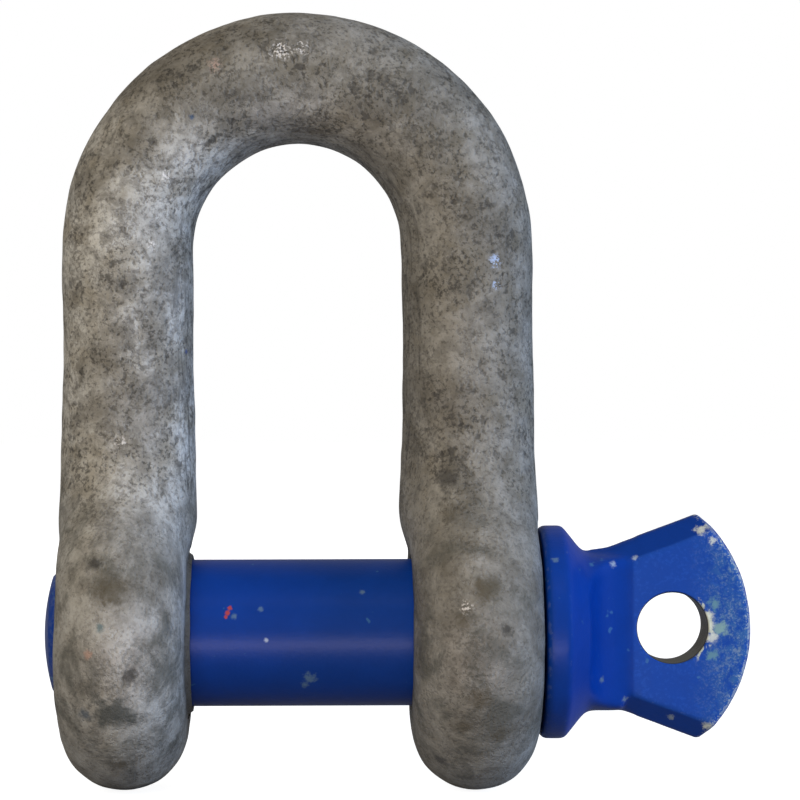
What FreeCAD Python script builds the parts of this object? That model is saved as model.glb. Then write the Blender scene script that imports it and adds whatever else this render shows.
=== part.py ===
import FreeCAD, Part

import math
import os

from FreeCAD import Vector

# Dee shackle with a screw pin, in millimetres.
# X runs along the pin towards its lug, Z runs from the pin up to the crown, Y runs across the ears.
# The origin is on the pin's axis, midway between the ears.

# Bow: round bar bent over a half circle, with a flat-faced ear forged on each end
BAR_D = 25.0                # bar round the crown and down the upper legs
LEG_GAP = 40.0              # clear width between the legs below the crown
INSIDE_LENGTH = 79.8        # top of the pin to the inside of the crown
LEG_FOOT_SWELL = 1.6        # the legs thicken by this, in the plane of the bow, above each ear
LEG_FOOT_INSET = 0.7        # the thickened foot stands this far inside the middle of its ear
LEG_BLEND_R = 30.0          # side fillet from the leg into the ear's round edge
LEG_STATIONS = (0.0, 0.2, 0.6)                  # ovals down the straight leg, as shares of it
BLEND_STATIONS = (0.0, 0.3, 0.55, 0.8, 1.0)     # and down the side fillet below it
JAW = 42.8                  # clear width between the faces of the ears
EAR_T = 24.0                # ear thickness along the pin
EAR_D = 60.0                # ear diameter across the pin's axis
EAR_BURIED_SHARE = 0.88     # the leg ends inside its ear, at this share of the ear's section
SPOT_FACE_MARGIN = 0.8      # the flat inner face of each ear is cut this far past the lip's foot
COLLAR_SEAT_MARGIN = 1.7    # the flat outside of the plain ear is cut this far past the collar
THREAD_EAR_CHAMFER = 0.6    # bevel at the outer end of the threaded hole, past the thread's crest

# Raised lip left round the pin hole on the inner face of the threaded ear
LIP_H = 1.2
LIP_BASE_W = 1.3            # width of the lip where it meets the ear
LIP_TOP_W = 0.5

# Pin: smooth shank, threaded end, collar, short neck and flat lug, forged in one
PIN_D = 28.0
PIN_PROUD = 3.2             # the threaded end stands this far out of its ear when the pin is home
PIN_END_R = 38.0            # radius of the domed threaded end
PIN_END_CHAMFER = 2.8       # end chamfer, from the thread's crest in to the dome
SHANK_EDGE = 0.4            # edge break where the shank ends
COLLAR_D = 40.6
COLLAR_T = 4.4
COLLAR_EDGE_R = 1.2
NECK_D = 30.1
NECK_START = 8.7            # collar's bearing face to the end of its cone
LUG_T = 9.6
LUG_ROOT = 13.0             # collar's bearing face to where the lug starts to flare
LUG_HALF_H = 21.5           # half height at the corners
LUG_END_R = 28.5            # radius of the lug's outer end
LUG_REACH = 40.1            # collar's bearing face to the tip
LUG_RISE = 1.0              # the forged lug sits this far off the pin's axis
LUG_SIDE_BLEND_R = 9.0      # hollow between the round neck and the lug's flat faces
LUG_FLANK_R = 3.6           # rounding along the lug's flared edges
LUG_END_EDGE_R = 1.0        # rounding along the lug's outer end
LUG_HOLE_D = 13.4
LUG_HOLE_TO_TIP = 15.0      # centre of the hole to the lug's outer end

# Screw thread, right-handed
THREAD_PITCH = 3.0
THREAD_STEP = 0.2           # the crest is this far below the shank, on the radius
THREAD_DEPTH = 1.8
THREAD_CREST_W = 0.5
THREAD_ROOT_LAND = 0.7      # flat at the bottom of the groove
THREAD_BURIED = 0.15        # the ridge starts this far inside its core

# Clearances
BORE_CLEAR = 0.5            # pin shank in the plain ear, on the radius
LIP_CLEAR = 0.4             # pin shank in the lip, on the radius
COLLAR_CLEAR = 0.5          # collar to its seat with the pin home
THREAD_CLEAR = 0.3          # crest and root of the thread, on the radius
THREAD_FLANK_CLEAR = 0.25   # each flank of the thread, along the pin
MOUTH_CLEAR = 0.5           # the shank's taper in the mouth of the threaded hole, on the radius

# Worked out from the sizes above
PIN_R = PIN_D / 2
BEND_R = (LEG_GAP + BAR_D) / 2
BEND_Z = PIN_R + INSIDE_LENGTH - LEG_GAP / 2
EAR_IN = JAW / 2
EAR_OUT = EAR_IN + EAR_T
EAR_MID = EAR_IN + EAR_T / 2
EAR_R = EAR_D / 2
PIN_TIP = -EAR_OUT - PIN_PROUD
CREST_R = PIN_R - THREAD_STEP
CORE_R = CREST_R - THREAD_DEPTH
THREAD_ROOT_W = THREAD_PITCH - THREAD_ROOT_LAND
PILOT_R = CORE_R + THREAD_CLEAR
TAP_R = CREST_R + THREAD_CLEAR
MOUTH_R = PIN_R + MOUTH_CLEAR
LIP_BORE_R = PIN_R + LIP_CLEAR
COLLAR_IN = EAR_OUT + COLLAR_CLEAR
COLLAR_OUT = COLLAR_IN + COLLAR_T
TAPER_START = -EAR_IN + SHANK_EDGE
TAPER_END = TAPER_START - (PIN_R - CORE_R)
LUG_TIP = COLLAR_IN + LUG_REACH
SAME = 0.01                 # two lengths closer than this are the same
ALONG_PIN = Vector(1, 0, 0)
ACROSS = Vector(0, 1, 0)
CENTRE = Vector(0, 0, 0)


def rod(radius, x_from, x_to):
    """A cylinder on the pin's axis."""
    return Part.makeCylinder(radius, x_to - x_from, Vector(x_from, 0, 0), ALONG_PIN)


def cone(radius_from, radius_to, x_from, x_to):
    """A cone on the pin's axis."""
    return Part.makeCone(radius_from, radius_to, x_to - x_from, Vector(x_from, 0, 0), ALONG_PIN)


def turned(edges):
    """A solid turned about the pin's axis from edges drawn in the XZ plane above it."""
    return Part.Face(Part.Wire(edges)).revolve(CENTRE, ALONG_PIN, 360)


def chain(points):
    """Straight edges from point to point, given as (x, z) pairs."""
    ends = [Vector(x, 0, z) for x, z in points]
    return [Part.LineSegment(a, b).toShape() for a, b in zip(ends, ends[1:])]


def arc(start, middle, end):
    """An arc through three (x, z) points in the XZ plane."""
    return Part.Arc(*[Vector(x, 0, z) for x, z in (start, middle, end)]).toShape()


def leg_section(x, z, half_x, half_y):
    """A level oval across the leg, with its longer half width across the ears."""
    middle = Vector(x, 0, z)
    oval = Part.Ellipse(middle + Vector(0, half_y, 0), middle + Vector(half_x, 0, 0), middle)
    return Part.Wire(oval.toShape())


def leg():
    """The +X leg, from the end of the bend down into its ear."""
    bar = BAR_D / 2
    foot = bar + LEG_FOOT_SWELL / 2
    foot_x = EAR_MID - LEG_FOOT_INSET
    # The side fillet touches the straight leg at fillet_top and the ear's edge at fillet_end
    fillet_y = bar + LEG_BLEND_R
    fillet_top = math.sqrt((EAR_R + LEG_BLEND_R) ** 2 - fillet_y ** 2)
    fillet_end = fillet_top * EAR_R / (EAR_R + LEG_BLEND_R)
    straight = BEND_Z - fillet_top
    sections = [
        leg_section(BEND_R, BEND_Z - share * straight, bar, bar)
        for share in LEG_STATIONS
    ]
    for share in BLEND_STATIONS:
        z = fillet_top + share * (fillet_end - fillet_top)
        x = BEND_R + share * (foot_x - BEND_R)
        half_x = bar + share * (foot - bar)
        half_y = fillet_y - math.sqrt(LEG_BLEND_R ** 2 - (fillet_top - z) ** 2)
        sections.append(leg_section(x, z, half_x, half_y))
    buried_z = fillet_end / 2
    buried_half_x = EAR_BURIED_SHARE * EAR_T / 2
    buried_half_y = EAR_BURIED_SHARE * math.sqrt(EAR_R ** 2 - buried_z ** 2)
    sections.append(leg_section(EAR_MID, buried_z, buried_half_x, buried_half_y))
    return Part.makeLoft(sections, True, False)


def ear():
    """The +X ear: a disc with a fully rounded edge."""
    rim = EAR_R - EAR_T / 2
    edges = chain([(EAR_OUT, rim), (EAR_OUT, 0), (EAR_IN, 0), (EAR_IN, rim)])
    edges.append(arc((EAR_IN, rim), (EAR_MID, EAR_R), (EAR_OUT, rim)))
    return turned(edges)


def mirrored(shape):
    """The same shape on the -X side."""
    return shape.mirror(CENTRE, ALONG_PIN)


def screw(core_r, crest_r, root_w, crest_w):
    """A right-handed screw on the pin's axis, longer at both ends than the threaded hole."""
    x_start = PIN_TIP - THREAD_PITCH
    length = EAR_T + PIN_PROUD + 2 * THREAD_PITCH
    buried_r = core_r - THREAD_BURIED
    buried_w = root_w + THREAD_BURIED * (root_w - crest_w) / (crest_r - core_r)
    helix = Part.makeHelix(THREAD_PITCH, length, buried_r)
    corners = [
        Vector(buried_r, 0, -buried_w / 2),
        Vector(crest_r, 0, -crest_w / 2),
        Vector(crest_r, 0, crest_w / 2),
        Vector(buried_r, 0, buried_w / 2),
        Vector(buried_r, 0, -buried_w / 2),
    ]
    ridge = Part.Wire(helix.Edges).makePipeShell([Part.makePolygon(corners)], True, True)
    core = Part.makeCylinder(core_r, length + 2 * THREAD_PITCH, Vector(0, 0, -THREAD_PITCH))
    shape = core.fuse(ridge)
    shape.rotate(CENTRE, ACROSS, 90)
    shape.translate(Vector(x_start, 0, 0))
    return shape


def bow():
    """The forged bow, with its plain and threaded holes."""
    bar_end = Part.Face(Part.Wire(Part.makeCircle(BAR_D / 2, Vector(BEND_R, 0, BEND_Z))))
    crown = bar_end.revolve(Vector(0, 0, BEND_Z), Vector(0, -1, 0), 180)
    shape = crown.multiFuse([leg(), mirrored(leg()), ear(), mirrored(ear())])
    shape = shape.cut(rod(LIP_BORE_R + LIP_BASE_W + SPOT_FACE_MARGIN, -EAR_IN, EAR_IN))
    shape = shape.cut(rod(COLLAR_D / 2 + COLLAR_SEAT_MARGIN, EAR_OUT, EAR_OUT + EAR_T))
    shape = shape.cut(rod(PIN_R + BORE_CLEAR, 0, EAR_OUT + EAR_T))
    mouth_depth = MOUTH_R - PILOT_R
    shape = shape.cut(cone(PILOT_R, MOUTH_R, -EAR_IN - mouth_depth, -EAR_IN))
    chamfer_r = TAP_R + THREAD_EAR_CHAMFER
    chamfer_depth = chamfer_r - PILOT_R
    shape = shape.cut(cone(chamfer_r, PILOT_R, -EAR_OUT, -EAR_OUT + chamfer_depth))
    tap = screw(
        PILOT_R,
        TAP_R,
        THREAD_ROOT_W + 2 * THREAD_FLANK_CLEAR,
        THREAD_CREST_W + 2 * THREAD_FLANK_CLEAR,
    )
    return shape.cut(tap)


def eye_lip():
    """The raised lip round the threaded hole, on the ear's inner face."""
    top = -EAR_IN + LIP_H
    return turned(chain([
        (-EAR_IN, LIP_BORE_R),
        (-EAR_IN, LIP_BORE_R + LIP_BASE_W),
        (top, LIP_BORE_R + LIP_TOP_W),
        (top, LIP_BORE_R),
        (-EAR_IN, LIP_BORE_R),
    ]))


def pin_blank():
    """The pin turned to size, with no thread and no lug."""
    collar_r = COLLAR_D / 2
    neck_r = NECK_D / 2
    neck_end = COLLAR_IN + LUG_ROOT + LUG_SIDE_BLEND_R
    blank = turned(chain([
        (TAPER_END, 0),
        (TAPER_END, CORE_R),
        (TAPER_START, PIN_R),
        (COLLAR_IN, PIN_R),
        (COLLAR_IN, collar_r),
        (COLLAR_OUT, collar_r),
        (COLLAR_IN + NECK_START, neck_r),
        (neck_end, neck_r),
        (neck_end, 0),
        (TAPER_END, 0),
    ]))
    rim = [
        edge for edge in blank.Edges
        if isinstance(edge.Curve, Part.Circle) and abs(edge.Curve.Radius - collar_r) < SAME
    ]
    return blank.makeFillet(COLLAR_EDGE_R, rim)


def pin_thread():
    """The threaded end: core and ridge, trimmed to a domed and chamfered end."""
    chamfer_r = CREST_R - PIN_END_CHAMFER
    half_r = chamfer_r / 2
    dome_centre = PIN_TIP + PIN_END_R
    chamfer_x = dome_centre - math.sqrt(PIN_END_R ** 2 - chamfer_r ** 2)
    half_x = dome_centre - math.sqrt(PIN_END_R ** 2 - half_r ** 2)
    edges = [arc((PIN_TIP, 0), (half_x, half_r), (chamfer_x, chamfer_r))]
    edges += chain([
        (chamfer_x, chamfer_r),
        (chamfer_x + TAP_R - chamfer_r, TAP_R),
        (TAPER_END - (TAP_R - CORE_R), TAP_R),
        (TAPER_END, CORE_R),
        (TAPER_END, 0),
        (PIN_TIP, 0),
    ])
    return screw(CORE_R, CREST_R, THREAD_ROOT_W, THREAD_CREST_W).common(turned(edges))


def lug():
    """The flat lug: flared edges, a round outer end and a hole for a locking wire."""
    root_x = COLLAR_IN + LUG_ROOT
    root_h = NECK_D / 2
    corner_x = LUG_TIP - LUG_END_R + math.sqrt(LUG_END_R ** 2 - LUG_HALF_H ** 2)
    edges = chain([
        (corner_x, LUG_HALF_H),
        (root_x, root_h),
        (COLLAR_OUT, root_h),
        (COLLAR_OUT, -root_h),
        (root_x, -root_h),
        (corner_x, -LUG_HALF_H),
    ])
    edges.append(arc((corner_x, -LUG_HALF_H), (LUG_TIP, 0), (corner_x, LUG_HALF_H)))
    plate = Part.Face(Part.Wire(edges)).extrude(Vector(0, LUG_T, 0))
    plate.translate(Vector(0, -LUG_T / 2, 0))
    flanks = [
        edge for edge in plate.Edges
        if abs(edge.CenterOfMass.y) > SAME
        and abs(edge.CenterOfMass.z) > root_h + SAME
        and isinstance(edge.Curve, Part.Line)
    ]
    plate = plate.makeFillet(LUG_FLANK_R, flanks)
    end = [
        edge for edge in plate.Edges
        if abs(edge.CenterOfMass.y) > SAME
        and isinstance(edge.Curve, Part.Circle)
        and abs(edge.Curve.Radius - LUG_END_R) < SAME
    ]
    plate = plate.makeFillet(LUG_END_EDGE_R, end)
    plate.translate(Vector(0, 0, LUG_RISE))
    return plate


def lug_side_cut():
    """What is cleared from one side of the neck to leave the lug's flat face."""
    start_x = COLLAR_IN + NECK_START
    flat_x = start_x + LUG_SIDE_BLEND_R
    flat_y = LUG_T / 2
    hollow_y = flat_y + LUG_SIDE_BLEND_R
    below = -2 * LUG_HALF_H
    height = -2 * below
    width = hollow_y + NECK_D
    hollow = Part.makeCylinder(LUG_SIDE_BLEND_R, height, Vector(flat_x, hollow_y, below))
    over_flat = Part.makeBox(2 * LUG_REACH, width, height, Vector(flat_x, flat_y, below))
    over_hollow = Part.makeBox(2 * LUG_REACH, width, height, Vector(start_x, hollow_y, below))
    return hollow.multiFuse([over_flat, over_hollow])


def screw_pin():
    """The whole pin, as it stands screwed home."""
    side = lug_side_cut()
    shape = pin_blank().cut(side).cut(side.mirror(CENTRE, ACROSS))
    shape = shape.fuse(lug()).fuse(pin_thread()).removeSplitter()
    hole_at = Vector(LUG_TIP - LUG_HOLE_TO_TIP, -LUG_T, LUG_RISE)
    return shape.cut(Part.makeCylinder(LUG_HOLE_D / 2, 2 * LUG_T, hole_at, ACROSS))


os.makedirs("parts", exist_ok=True)
NODES = {
    "bow_body": bow(),
    "eye_lip": eye_lip(),
    "screw_pin": screw_pin(),
}
for name, shape in NODES.items():
    shape.exportStep("parts/" + name + ".step")
    box = shape.BoundBox
    print(
        name, len(shape.Solids), shape.isValid(), round(shape.Volume, 1),
        [round(v, 2) for v in (box.XMin, box.YMin, box.ZMin, box.XMax, box.YMax, box.ZMax)],
    )
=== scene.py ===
"""A dee shackle with a painted screw pin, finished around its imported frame.

Everything is in metres, in the frame's own axes: X runs along the pin towards its lug, Z runs up
to the crown and Y runs across the eyes. The origin is on the pin's axis, midway between the eyes.
"""

import logging
import math
from collections.abc import Iterator
from contextlib import contextmanager
from dataclasses import dataclass
from enum import Enum

import bmesh
import bpy
from mathutils import Matrix, Vector, noise


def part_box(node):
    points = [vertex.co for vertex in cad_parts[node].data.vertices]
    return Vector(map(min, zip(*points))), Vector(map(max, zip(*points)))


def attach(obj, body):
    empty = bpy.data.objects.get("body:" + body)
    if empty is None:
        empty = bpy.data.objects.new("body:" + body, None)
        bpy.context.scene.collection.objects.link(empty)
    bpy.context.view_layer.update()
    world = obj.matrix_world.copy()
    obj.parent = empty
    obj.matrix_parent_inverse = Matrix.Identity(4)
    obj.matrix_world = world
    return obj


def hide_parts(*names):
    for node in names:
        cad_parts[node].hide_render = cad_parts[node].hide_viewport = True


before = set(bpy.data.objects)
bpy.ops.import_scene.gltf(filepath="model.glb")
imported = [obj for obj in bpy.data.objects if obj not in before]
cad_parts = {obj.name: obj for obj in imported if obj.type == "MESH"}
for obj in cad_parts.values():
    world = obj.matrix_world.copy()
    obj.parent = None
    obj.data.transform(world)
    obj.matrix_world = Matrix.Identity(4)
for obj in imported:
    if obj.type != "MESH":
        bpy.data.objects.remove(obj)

LOG = logging.getLogger("shackle")
MM = 0.001
QUARTER_TURN = math.pi / 2
FULL_TURN = 2 * math.pi
ALONG_PIN = Vector((1, 0, 0))
NO_SHIFT = (0, 0, 0)
WHITE = (1.0, 1.0, 1.0)

# Vertices nearer than this are one.
MERGE = 0.002 * MM
# How far a cutting tool or a hidden end runs past the faces that it crosses.
OVERRUN = 2 * MM
# How far in front of the shackle a mark starts on its way to the surface.
IN_FRONT = 1.0

# Sizes that more than one piece fits to.
SHANK = 14.0 * MM
EYE_THICK = 24.0 * MM
COLLAR_ROOM = 0.5 * MM

Colour = tuple[float, float, float]
Profile = list[tuple[float, float]]
Socket = bpy.types.NodeSocket
Source = Socket | Vector | tuple | float


class Cut(Enum):
    """How one solid acts on another."""

    REMOVE = "DIFFERENCE"
    JOIN = "UNION"
    KEEP_SHARED = "INTERSECT"


# ---------------------------------------------------------------- mesh work


def solid(name: str, bm: bmesh.types.BMesh) -> bpy.types.Object:
    """Makes an object of a bmesh and frees the bmesh.

    Args:
        name: The object's name.
        bm: The finished bmesh.

    Returns:
        The new object, at the origin.
    """
    mesh = bpy.data.meshes.new(name)
    bm.to_mesh(mesh)
    bm.free()
    piece = bpy.data.objects.new(name, mesh)
    bpy.context.scene.collection.objects.link(piece)
    return piece


@contextmanager
def editing(piece: bpy.types.Object) -> Iterator[bmesh.types.BMesh]:
    """Opens the mesh of a piece as a bmesh, and writes it back at the end.

    Args:
        piece: The object whose mesh is edited.

    Yields:
        The bmesh.
    """
    bm = bmesh.new()
    bm.from_mesh(piece.data)
    yield bm
    bm.to_mesh(piece.data)
    bm.free()


def settle(piece: bpy.types.Object) -> None:
    """Applies the modifiers of a piece to its mesh.

    Args:
        piece: The object, whose modifiers are then gone.
    """
    graph = bpy.context.evaluated_depsgraph_get()
    mesh = bpy.data.meshes.new_from_object(piece.evaluated_get(graph))
    piece.modifiers.clear()
    piece.data = mesh


def combine(piece: bpy.types.Object, tool: bpy.types.Object, cut: Cut) -> None:
    """Cuts or joins a piece with another solid, which is then gone.

    Args:
        piece: The object that is changed.
        tool: The solid that acts on it.
        cut: What the tool does.
    """
    modifier = piece.modifiers.new("combine", "BOOLEAN")
    modifier.operation = cut.value
    modifier.solver = "EXACT"
    modifier.object = tool
    settle(piece)
    bpy.data.objects.remove(tool)


def clean(bm: bmesh.types.BMesh) -> None:
    """Merges doubled vertices and turns every face outwards.

    Args:
        bm: The bmesh to clean.
    """
    bmesh.ops.remove_doubles(bm, verts=bm.verts, dist=MERGE)
    bmesh.ops.recalc_face_normals(bm, faces=bm.faces)


def of_kind(geometry: list, kind: type) -> list:
    """The vertices, edges or faces among the geometry that an operator gives back."""
    return [item for item in geometry if isinstance(item, kind)]


def draw(
    bm: bmesh.types.BMesh, points: list[Vector],
) -> list[bmesh.types.BMVert | bmesh.types.BMEdge]:
    """Draws an open line.

    Args:
        bm: The bmesh to draw in.
        points: The line's points, in order.

    Returns:
        The line's vertices and edges.
    """
    verts = [bm.verts.new(point) for point in points]
    edges = [bm.edges.new(pair) for pair in zip(verts, verts[1:])]
    return verts + edges


def sweep(
    bm: bmesh.types.BMesh, geometry: list, centre: tuple, axis: tuple, angle: float, steps: int,
    advance: tuple = NO_SHIFT, closed: bool = False,
) -> None:
    """Sweeps vertices or edges round an axis.

    Args:
        bm: The bmesh that they are in.
        geometry: What is swept.
        centre: A point on the axis.
        axis: The axis's direction.
        angle: How far the sweep goes.
        steps: How many steps make it.
        advance: How far each step moves on.
        closed: Whether the end of the sweep joins its start.
    """
    bmesh.ops.spin(
        bm, geom=geometry, cent=centre, axis=axis, dvec=advance, angle=angle, steps=steps,
        use_merge=closed, use_duplicate=False,
    )


def slice_off(bm: bmesh.types.BMesh, place: tuple, outward: tuple) -> None:
    """Cuts a solid with a plane, takes its outer part away and closes the cut.

    Args:
        bm: The bmesh of the solid.
        place: A point on the plane.
        outward: The plane's direction, towards what is taken away.
    """
    cut = bmesh.ops.bisect_plane(
        bm, geom=bm.verts[:] + bm.edges[:] + bm.faces[:], dist=MERGE, plane_co=place,
        plane_no=outward, clear_outer=True, clear_inner=False,
    )
    bmesh.ops.holes_fill(bm, edges=of_kind(cut["geom_cut"], bmesh.types.BMEdge), sides=0)


def raise_outline(
    bm: bmesh.types.BMesh, outline: list[bmesh.types.BMVert], rise: tuple[float, float, float],
) -> None:
    """Closes an outline with a face and raises it into a solid.

    Args:
        bm: The bmesh, which holds the outline and nothing else.
        outline: The vertices whose sides are still to be drawn, in order.
        rise: How far and which way the face is raised.
    """
    for pair in zip(outline, outline[1:]):
        bm.edges.new(pair)
    face = bmesh.ops.contextual_create(bm, geom=bm.edges[:])["faces"]
    grown = bmesh.ops.extrude_face_region(bm, geom=face)["geom"]
    bmesh.ops.translate(bm, verts=of_kind(grown, bmesh.types.BMVert), vec=rise)


def turned(bm: bmesh.types.BMesh, profile: Profile, steps: int) -> None:
    """Adds a solid turned about the pin's axis.

    Args:
        bm: The bmesh to add it to.
        profile: The outline as (x, radius) pairs, which starts and ends on the axis.
        steps: How many steps go round.
    """
    line = draw(bm, [Vector((x, 0, radius)) for x, radius in profile])
    sweep(bm, line, NO_SHIFT, ALONG_PIN, FULL_TURN, steps, closed=True)
    clean(bm)


def rounded(profile: Profile, corner: int, radius: float, steps: int = 5) -> Profile:
    """Rounds one corner of an outline with an arc.

    Args:
        profile: The outline.
        corner: Which point is rounded.
        radius: The arc's radius.
        steps: How many runs make the arc.

    Returns:
        The outline with the arc in place of the corner.
    """
    here = Vector(profile[corner])
    back = (Vector(profile[corner - 1]) - here).normalized()
    ahead = (Vector(profile[corner + 1]) - here).normalized()
    half = back.angle(ahead) / 2
    middle = here + (back + ahead).normalized() * radius / math.sin(half)
    start = here + back * radius / math.tan(half) - middle
    end = here + ahead * radius / math.tan(half) - middle
    swing = start.angle(end)
    arc = []
    for step in range(steps + 1):
        share = step / steps
        from_start = start * math.sin((1 - share) * swing)
        from_end = end * math.sin(share * swing)
        arc.append(tuple(middle + (from_start + from_end) / math.sin(swing)))
    return profile[:corner] + arc + profile[corner + 1:]


def voxel_skin(piece: bpy.types.Object, size: float) -> None:
    """Draws one even skin over all the overlapping solids of a piece.

    Args:
        piece: The object, whose mesh is replaced.
        size: The length of a face's side.
    """
    modifier = piece.modifiers.new("skin", "REMESH")
    modifier.mode = "VOXEL"
    modifier.voxel_size = size
    settle(piece)


def relax(piece: bpy.types.Object, rounds: int, x_from: float, x_to: float) -> None:
    """Relaxes the skin of a forging between two places along the pin.

    Args:
        piece: The object to relax.
        rounds: How often the skin is relaxed.
        x_from: Where it starts.
        x_to: Where it ends.
    """
    with editing(piece) as bm:
        verts = [vert for vert in bm.verts if x_from < vert.co.x < x_to]
        for _ in range(rounds):
            bmesh.ops.smooth_vert(
                bm, verts=verts, factor=0.5, use_axis_x=True, use_axis_y=True, use_axis_z=True,
            )


def roughen(piece: bpy.types.Object, grow: float, lumps: "Lumps") -> None:
    """Lets the skin of a forging out again, and makes it a little uneven.

    Args:
        piece: The object to roughen.
        grow: How far the skin is let out.
        lumps: How uneven it is.
    """
    with editing(piece) as bm:
        bm.normal_update()
        for vert in bm.verts:
            vert.co += vert.normal * (grow + lumps.at(vert.co))


@dataclass(frozen=True)
class Lumps:
    """The unevenness that a hammer and a die leave on a forging.

    Args:
        broad: Height of the broad swells.
        broad_span: How far apart they are.
        fine: Height of the small dents.
        fine_span: How far apart they are.
    """

    broad: float
    broad_span: float
    fine: float
    fine_span: float

    def at(self, place: Vector) -> float:
        """Works out how far the surface stands above or below its true form.

        Args:
            place: The place on the surface.

        Returns:
            The height there.
        """
        swell = noise.noise(place / self.broad_span) * self.broad
        dent = noise.noise(place / self.fine_span) * self.fine
        return swell + dent


def mark_edges(piece: bpy.types.Object, sharp: float, rounds: int) -> None:
    """Stores how strongly the surface turns outwards at each vertex, from 0 to 1, as "edge".

    Args:
        piece: The finished object.
        sharp: The angle between two faces that counts as a full edge.
        rounds: How often the value is spread to the vertices beside it.
    """
    with editing(piece) as bm:
        layer = bm.verts.layers.float.new("edge")
        for vert in bm.verts:
            angles = [edge.calc_face_angle_signed(0.0) for edge in vert.link_edges]
            vert[layer] = min(max(max(angles, default=0.0) / sharp, 0.0), 1.0)
        for _ in range(rounds):
            spread = {}
            for vert in bm.verts:
                beside = [edge.other_vert(vert)[layer] for edge in vert.link_edges]
                if beside:
                    spread[vert] = sum(beside) / len(beside)
            for vert, value in spread.items():
                vert[layer] = (vert[layer] + value) / 2


def shade_smooth(piece: bpy.types.Object, angle: float) -> None:
    """Shades a piece smooth, apart from its edges sharper than an angle.

    Args:
        piece: The finished object.
        angle: The sharpest angle that is still smooth.
    """
    piece.data.shade_smooth()
    with editing(piece) as bm:
        for edge in bm.edges:
            edge.smooth = edge.calc_face_angle(0.0) < angle


# ---------------------------------------------------------------- shader work


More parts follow.
